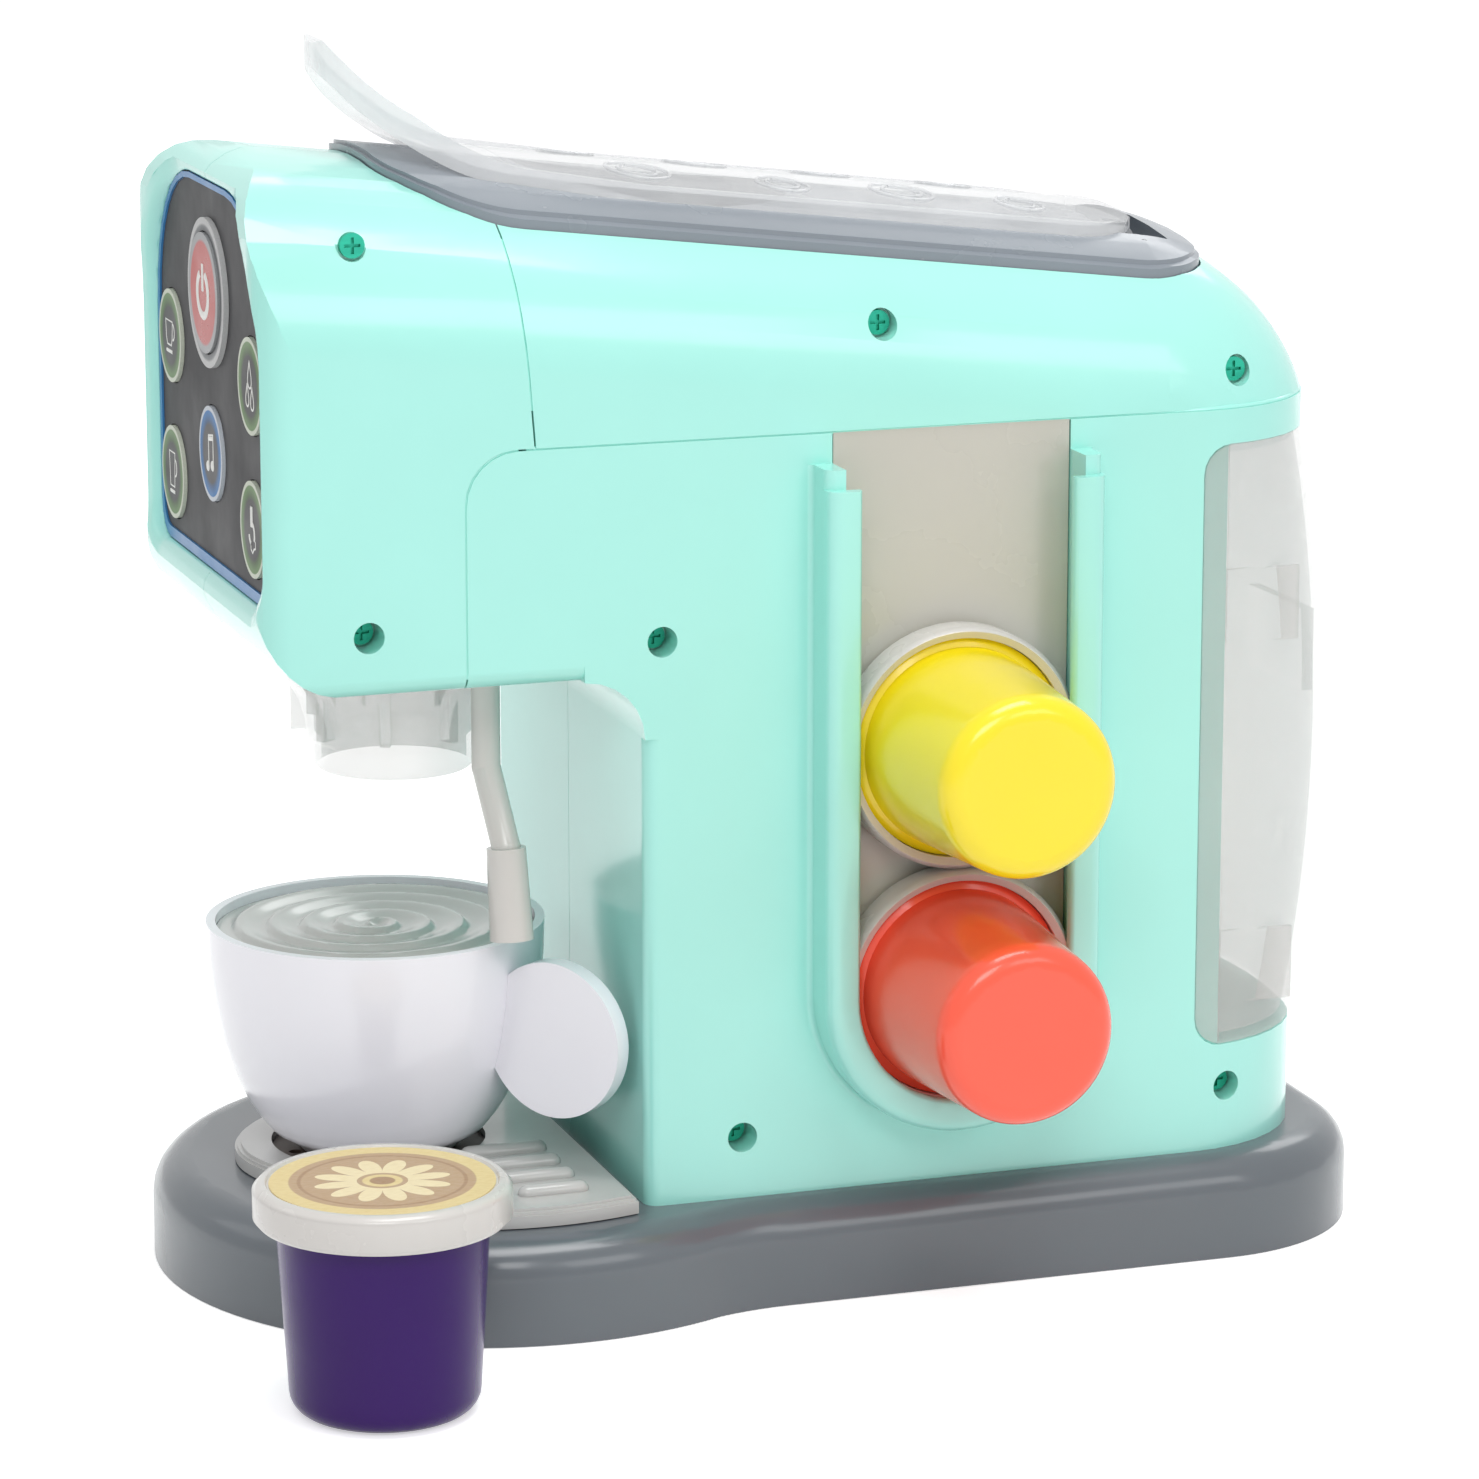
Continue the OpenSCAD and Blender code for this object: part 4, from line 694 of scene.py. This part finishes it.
# %% [markdown]
# The cup's handle is a disc. On the real one its rim is a fat roll, and the sunk face carries a fine spiral. The
# CAD disc stays, a torus makes the roll, and a spiral stroke is laid half into the rear face. The steam wand's tip
# swings close to the front face, the one that the camera sees, so the roll is set back from it and it stays bare.

# %% Rolled rim and spiral of the handle
HANDLE_TURN = math.radians(38.4)
CUP_AXIS, HANDLE_REACH = Vector((0, -0.090, 0.0596)), 0.051
HANDLE_AT = CUP_AXIS + Vector((math.cos(HANDLE_TURN), math.sin(HANDLE_TURN), 0)) * HANDLE_REACH
HANDLE_R, HANDLE_T = 0.0182, 0.0044
ROLL_R, ROLL_SHIFT = 0.0027, 0.0006
SPIRAL_TURNS, SPIRAL_STEPS, SPIRAL_START, SPIRAL_GROWTH, SPIRAL_R = 3.2, 160, 0.0007, 0.00054, 0.00042
stand_up = Matrix.Rotation(math.radians(90), 4, "X")
to_handle = Matrix.Translation(HANDLE_AT) @ Matrix.Rotation(HANDLE_TURN, 4, "Z") @ stand_up

bpy.ops.object.select_all(action="DESELECT")
bpy.ops.mesh.primitive_torus_add(
    major_radius=HANDLE_R - ROLL_R, minor_radius=ROLL_R, major_segments=96, minor_segments=24, location=(0, 0, 0)
)
roll = bpy.context.object
roll.data.transform(to_handle @ Matrix.Translation((0, 0, -ROLL_SHIFT)))
settle(roll, "handle_roll", "mug", finishes["white_gloss"])

turns = [2 * math.pi * SPIRAL_TURNS * k / SPIRAL_STEPS for k in range(SPIRAL_STEPS + 1)]
radii = [SPIRAL_START + t * SPIRAL_GROWTH for t in turns]
spiral = stroke([(r * math.cos(t), r * math.sin(t), -HANDLE_T / 2) for r, t in zip(radii, turns)], SPIRAL_R)
spiral.data.transform(to_handle)
settle(spiral, "handle_spiral", "mug", finishes["white_gloss"])
print("handle centre", [round(c, 4) for c in HANDLE_AT])

# %% [markdown]
# The clear lid carries a low moulded relief of rounds and beans. Each is a ring of points that is dropped on to the
# lid from above, so the relief follows the lid's slope and crown, and a thin stroke is laid along it.

# %% Relief of the lid
lid = nodes["clear_lid"]


def dropped(x, y):
    """The point of the lid's upper surface under (x, y), or None off its edge."""
    hit, place, _, _ = lid.ray_cast(Vector((x, y, 0.5)), Vector((0, 0, -1)))
    return place if hit else None


# across, along and radius in mm
RELIEF = [
    (-16, -38, 7.5), (14, -30, 8.5), (-12, -8, 8.5), (16, 4, 7.0),
    (-15, 24, 8.0), (13, 34, 8.5), (-13, 54, 7.5), (16, 62, 6.5),
]
RELIEF_ARCS, RELIEF_R = ((1.0, 0, 360), (0.62, 20, 200), (0.62, 215, 395)), 0.00045
reliefs = []
for x, y, size in RELIEF:
    for share, start, end in RELIEF_ARCS:
        spots = [dropped((x + u) * MM, (y + v) * MM) for u, v in sweep(0, 0, size * share, start, end, 30, 0.85)]
        if all(spots):
            reliefs.append(stroke([(p.x, p.y, p.z) for p in spots], RELIEF_R))
relief = settle(joined(reliefs), "lid_relief", "lid", finishes["clear_plastic"])
print("relief strokes:", len(reliefs))

# %% [markdown]
# The head's front is one fat rolled rim round the panel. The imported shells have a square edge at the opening, so a
# copy of each is cut with one closed tool. The tool is a cylinder whose rings are laid to the opening's outline: from
# the panel they open out along a quarter ellipse to the crest of the rim, and then run straight out of the front.

# %% Rolled rim of the head
RIM_OUT, RIM_LOW, RIM_STEPS = 0.0042, 0.0008, 40
RIM_RINGS, CORNER_STEPS, SIDE_STEPS = 9, 14, 4
panel_low, panel_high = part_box("control_panel")
HOLE_PLAY = 0.0002
HOLE_HALF, HOLE_TOP, HOLE_FOOT = panel_high.x + HOLE_PLAY, panel_high.z + HOLE_PLAY, panel_low.z - HOLE_PLAY
HOLE_R_TOP, HOLE_R_FOOT = 0.034, 0.008
HEAD_FRONT, PANEL_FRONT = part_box("head_right")[0].y, panel_low.y


def hole_outline():
    """Points of the opening's outline, each with its outward direction, once round."""
    corners = [(1, HOLE_TOP, -1, HOLE_R_TOP, 0), (-1, HOLE_TOP, -1, HOLE_R_TOP, 90),
               (-1, HOLE_FOOT, 1, HOLE_R_FOOT, 180), (1, HOLE_FOOT, 1, HOLE_R_FOOT, 270)]
    points = []
    for side, edge, inward, r, first in corners:
        centre = Vector((side * (HOLE_HALF - r), edge + inward * r))
        for step in range(CORNER_STEPS + 1):
            a = math.radians(first + 90 * step / CORNER_STEPS)
            out = Vector((math.cos(a), math.sin(a)))
            points.append((centre + out * r, out))
    outline = []
    for (here, out), (there, _) in zip(points, points[1:] + points[:1]):
        steps = SIDE_STEPS if (there - here).length > 0.008 else 1
        outline += [(here.lerp(there, k / steps), out) for k in range(steps)]
    return outline


def skin_y(x, z):
    """The y of the head's outer skin straight behind a point of the front view."""
    reach = Vector((x, HEAD_FRONT - 0.05, z))
    hits = [nodes[node].ray_cast(reach, Vector((0, 1, 0))) for node in ("head_right", "head_left")]
    found = [place.y for hit, place, _, _ in hits if hit]
    return min(found) if found else None


def crest_of(foot, out):
    """How far out the crest lies, and its y: never further back than just before the panel."""
    for step in range(RIM_STEPS, 1, -1):
        reach = RIM_OUT * step / RIM_STEPS
        spot = foot + out * reach
        y = skin_y(spot.x if abs(spot.x) > 2e-4 else 4e-4, spot.y)
        if y is not None and y < PANEL_FRONT - RIM_LOW:
            return reach, y
    return RIM_OUT / RIM_STEPS, PANEL_FRONT - RIM_LOW


outline = hole_outline()
crests = [crest_of(foot, out) for foot, out in outline]
bpy.ops.mesh.primitive_cylinder_add(vertices=len(outline), radius=1, depth=2)
tool = bpy.context.object
bpy.ops.object.mode_set(mode="EDIT")
bpy.ops.mesh.select_mode(type="EDGE")
bpy.ops.mesh.select_all(action="DESELECT")
bpy.ops.object.mode_set(mode="OBJECT")
for edge in tool.data.edges:
    low, high = (tool.data.vertices[k].co for k in edge.vertices)
    edge.select = abs(low.z - high.z) > 1
bpy.ops.object.mode_set(mode="EDIT")
bpy.ops.mesh.subdivide(number_cuts=RIM_RINGS)
bpy.ops.object.mode_set(mode="OBJECT")
for vertex in tool.data.vertices:
    turn = math.atan2(vertex.co.y, vertex.co.x) / (2 * math.pi) * len(outline)
    place = round(turn) % len(outline)
    ring = round((vertex.co.z + 1) / 2 * (RIM_RINGS + 1))
    (foot, out), (reach, top_y) = outline[place], crests[place]
    t = 1 - min(ring, RIM_RINGS) / RIM_RINGS
    spot = foot + out * (reach * (1 - math.sqrt(max(0.0, 1 - (1 - t) ** 2))) - HOLE_PLAY / 2)
    y = HEAD_FRONT - 0.002 if ring > RIM_RINGS else top_y + (PANEL_FRONT - top_y) * t
    vertex.co = Vector((spot.x, y, spot.y))
bpy.ops.object.mode_set(mode="EDIT")
bpy.ops.mesh.select_all(action="SELECT")
bpy.ops.mesh.normals_make_consistent(inside=False)
bpy.ops.object.mode_set(mode="OBJECT")

for node in ("head_right", "head_left"):
    shell = bpy.data.objects.new(node + "_rolled", nodes[node].data.copy())
    bpy.context.scene.collection.objects.link(shell)
    bpy.ops.object.select_all(action="DESELECT")
    shell.select_set(True)
    bpy.context.view_layer.objects.active = shell
    bpy.ops.mesh.customdata_custom_splitnormals_clear()
    bpy.ops.object.mode_set(mode="EDIT")
    bpy.ops.mesh.select_all(action="SELECT")
    bpy.ops.mesh.remove_doubles(threshold=2e-6)
    bpy.ops.object.mode_set(mode="OBJECT")
    cut = shell.modifiers.new("rim", "BOOLEAN")
    cut.operation, cut.solver, cut.object = "DIFFERENCE", "EXACT", tool
    bpy.ops.object.modifier_apply(modifier="rim")
    settle(shell, node + "_rolled", "machine", finishes["mint_gloss"])
    soften(shell)
    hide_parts(node)
    print(node, "rolled faces:", len(shell.data.polygons))
bpy.data.objects.remove(tool)

# %% [markdown]
# The shells meet in shallow grooves, with a lip behind each joint that keeps the light in. A thin bead of the same
# plastic is laid just under the skin along each seam. Its points come from rays cast at the shells from outside.

# %% Beads behind the seams
SEAM_Z, SIDE_X, BEAD_R, BEAD_DEPTH = 0.1995, 0.059, 0.0006, 0.00085
NECK_Y, NECK_Z, NECK_R, NECK_FOOT = -71.8, 187.5, 12, [(-83.8, 170), (-83.8, 149)]
FAR = 0.2


def struck(node, start, towards):
    """Where a ray from start hits the node's skin, moved a little further in."""
    towards = Vector(towards).normalized()
    hit, place, _, _ = nodes[node].ray_cast(Vector(start), towards)
    return place + towards * BEAD_DEPTH if hit else None


def seam_round(side):
    """The level seam, from the neck's corner along the side and round the rear."""
    body = "body_right" if side > 0 else "body_left"
    spots = [struck(body, (side * FAR, y * MM, SEAM_Z - BEAD_R), (-side, 0, 0)) for y in range(-70, 78, 8)]
    for turn in range(0, 89, 4):
        a = math.radians(turn)
        away = Vector((side * math.cos(a), math.sin(a), 0))
        spots.append(struck(body, Vector((0, 0.078, SEAM_Z - BEAD_R)) + away * FAR, -away))
    return [Vector((p.x, p.y, SEAM_Z)) for p in spots if p]


def seam_neck(side):
    """The seam that drops from the level one down the neck, round its corner."""
    x = side * (SIDE_X - BEAD_DEPTH)
    corner = [(NECK_Y + u, NECK_Z + v) for u, v in sweep(0, 0, NECK_R, 90, 180, 9)]
    return [Vector((x, y * MM, z * MM)) for y, z in corner + NECK_FOOT]


def seam_head(side):
    """The upright seam between the head and the roof shells, up over the shoulder."""
    shell, spots = "upper_right" if side > 0 else "upper_left", []
    for turn in range(0, 50, 4):
        a = math.radians(turn)
        away, y = Vector((side * math.cos(a), 0, math.sin(a))), -0.069
        for _ in range(3):
            place = struck(shell, Vector((0, y + BEAD_R, SEAM_Z + 0.0004)) + away * FAR, -away)
            if place:
                y = -0.068 - 0.004 * (place.z - SEAM_Z) / 0.0505
        if place:
            spots.append(Vector((place.x, y, place.z)))
    return spots


beads = []
for side in (1, -1):
    for line in (seam_round(side), seam_neck(side), seam_head(side)):
        beads.append(stroke([tuple(p) for p in line], BEAD_R))
seams = settle(joined(beads), "seam_beads", "machine", finishes["mint_gloss"])
print("seam beads:", len(beads))

# %% [markdown]
# The drip tray's wide part has four rounded ribs on each side that keep a cup off the drips. A rib is a cylinder
# whose two ends are drawn out into domes by extrude and resize. The others are made the same way, each shorter.

# %% Ribs of the drip tray
tray_low, tray_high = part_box("drip_tray")
RIB_R, RIB_REAR, RIB_RISE = 0.002, -0.0578, -0.0009
RIB_PLACES = ((0.022, 0.0166), (0.033, 0.0152), (0.044, 0.0138), (0.055, 0.0124))
DOME = ((0.4, 0.92), (0.35, 0.76), (0.25, 0.5))


def rib(x, length):
    bpy.ops.object.select_all(action="DESELECT")
    bpy.ops.mesh.primitive_cylinder_add(
        vertices=24, radius=RIB_R, depth=length, end_fill_type="NOTHING", location=(0, 0, 0)
    )
    bar = bpy.context.object
    for end in (1, -1):
        bpy.ops.object.mode_set(mode="EDIT")
        bpy.ops.mesh.select_all(action="DESELECT")
        bpy.ops.object.mode_set(mode="OBJECT")
        for vertex in bar.data.vertices:
            vertex.select = vertex.co.z * end > length / 2 - 1e-5
        bpy.ops.object.mode_set(mode="EDIT")
        bpy.ops.mesh.select_mode(type="VERT")
        for rise, share in DOME:
            bpy.ops.mesh.extrude_region_move(TRANSFORM_OT_translate={"value": (0, 0, end * RIB_R * rise)})
            bpy.ops.transform.resize(value=(share, share, 1), center_override=(0, 0, 0))
        bpy.ops.mesh.edge_face_add()
        bpy.ops.object.mode_set(mode="OBJECT")
    middle_y = RIB_REAR - length / 2
    bar.data.transform(
        Matrix.Translation((x, middle_y, tray_high.z + RIB_RISE)) @ Matrix.Rotation(math.radians(90), 4, "X")
    )
    return bar


bars = [rib(side * x, length) for side in (1, -1) for x, length in RIB_PLACES]
ribs = settle(joined(bars), "tray_ribs", "tray", finishes["pale_grey_gloss"])
print("ribs:", len(bars), "tray top", round(tray_high.z, 4))
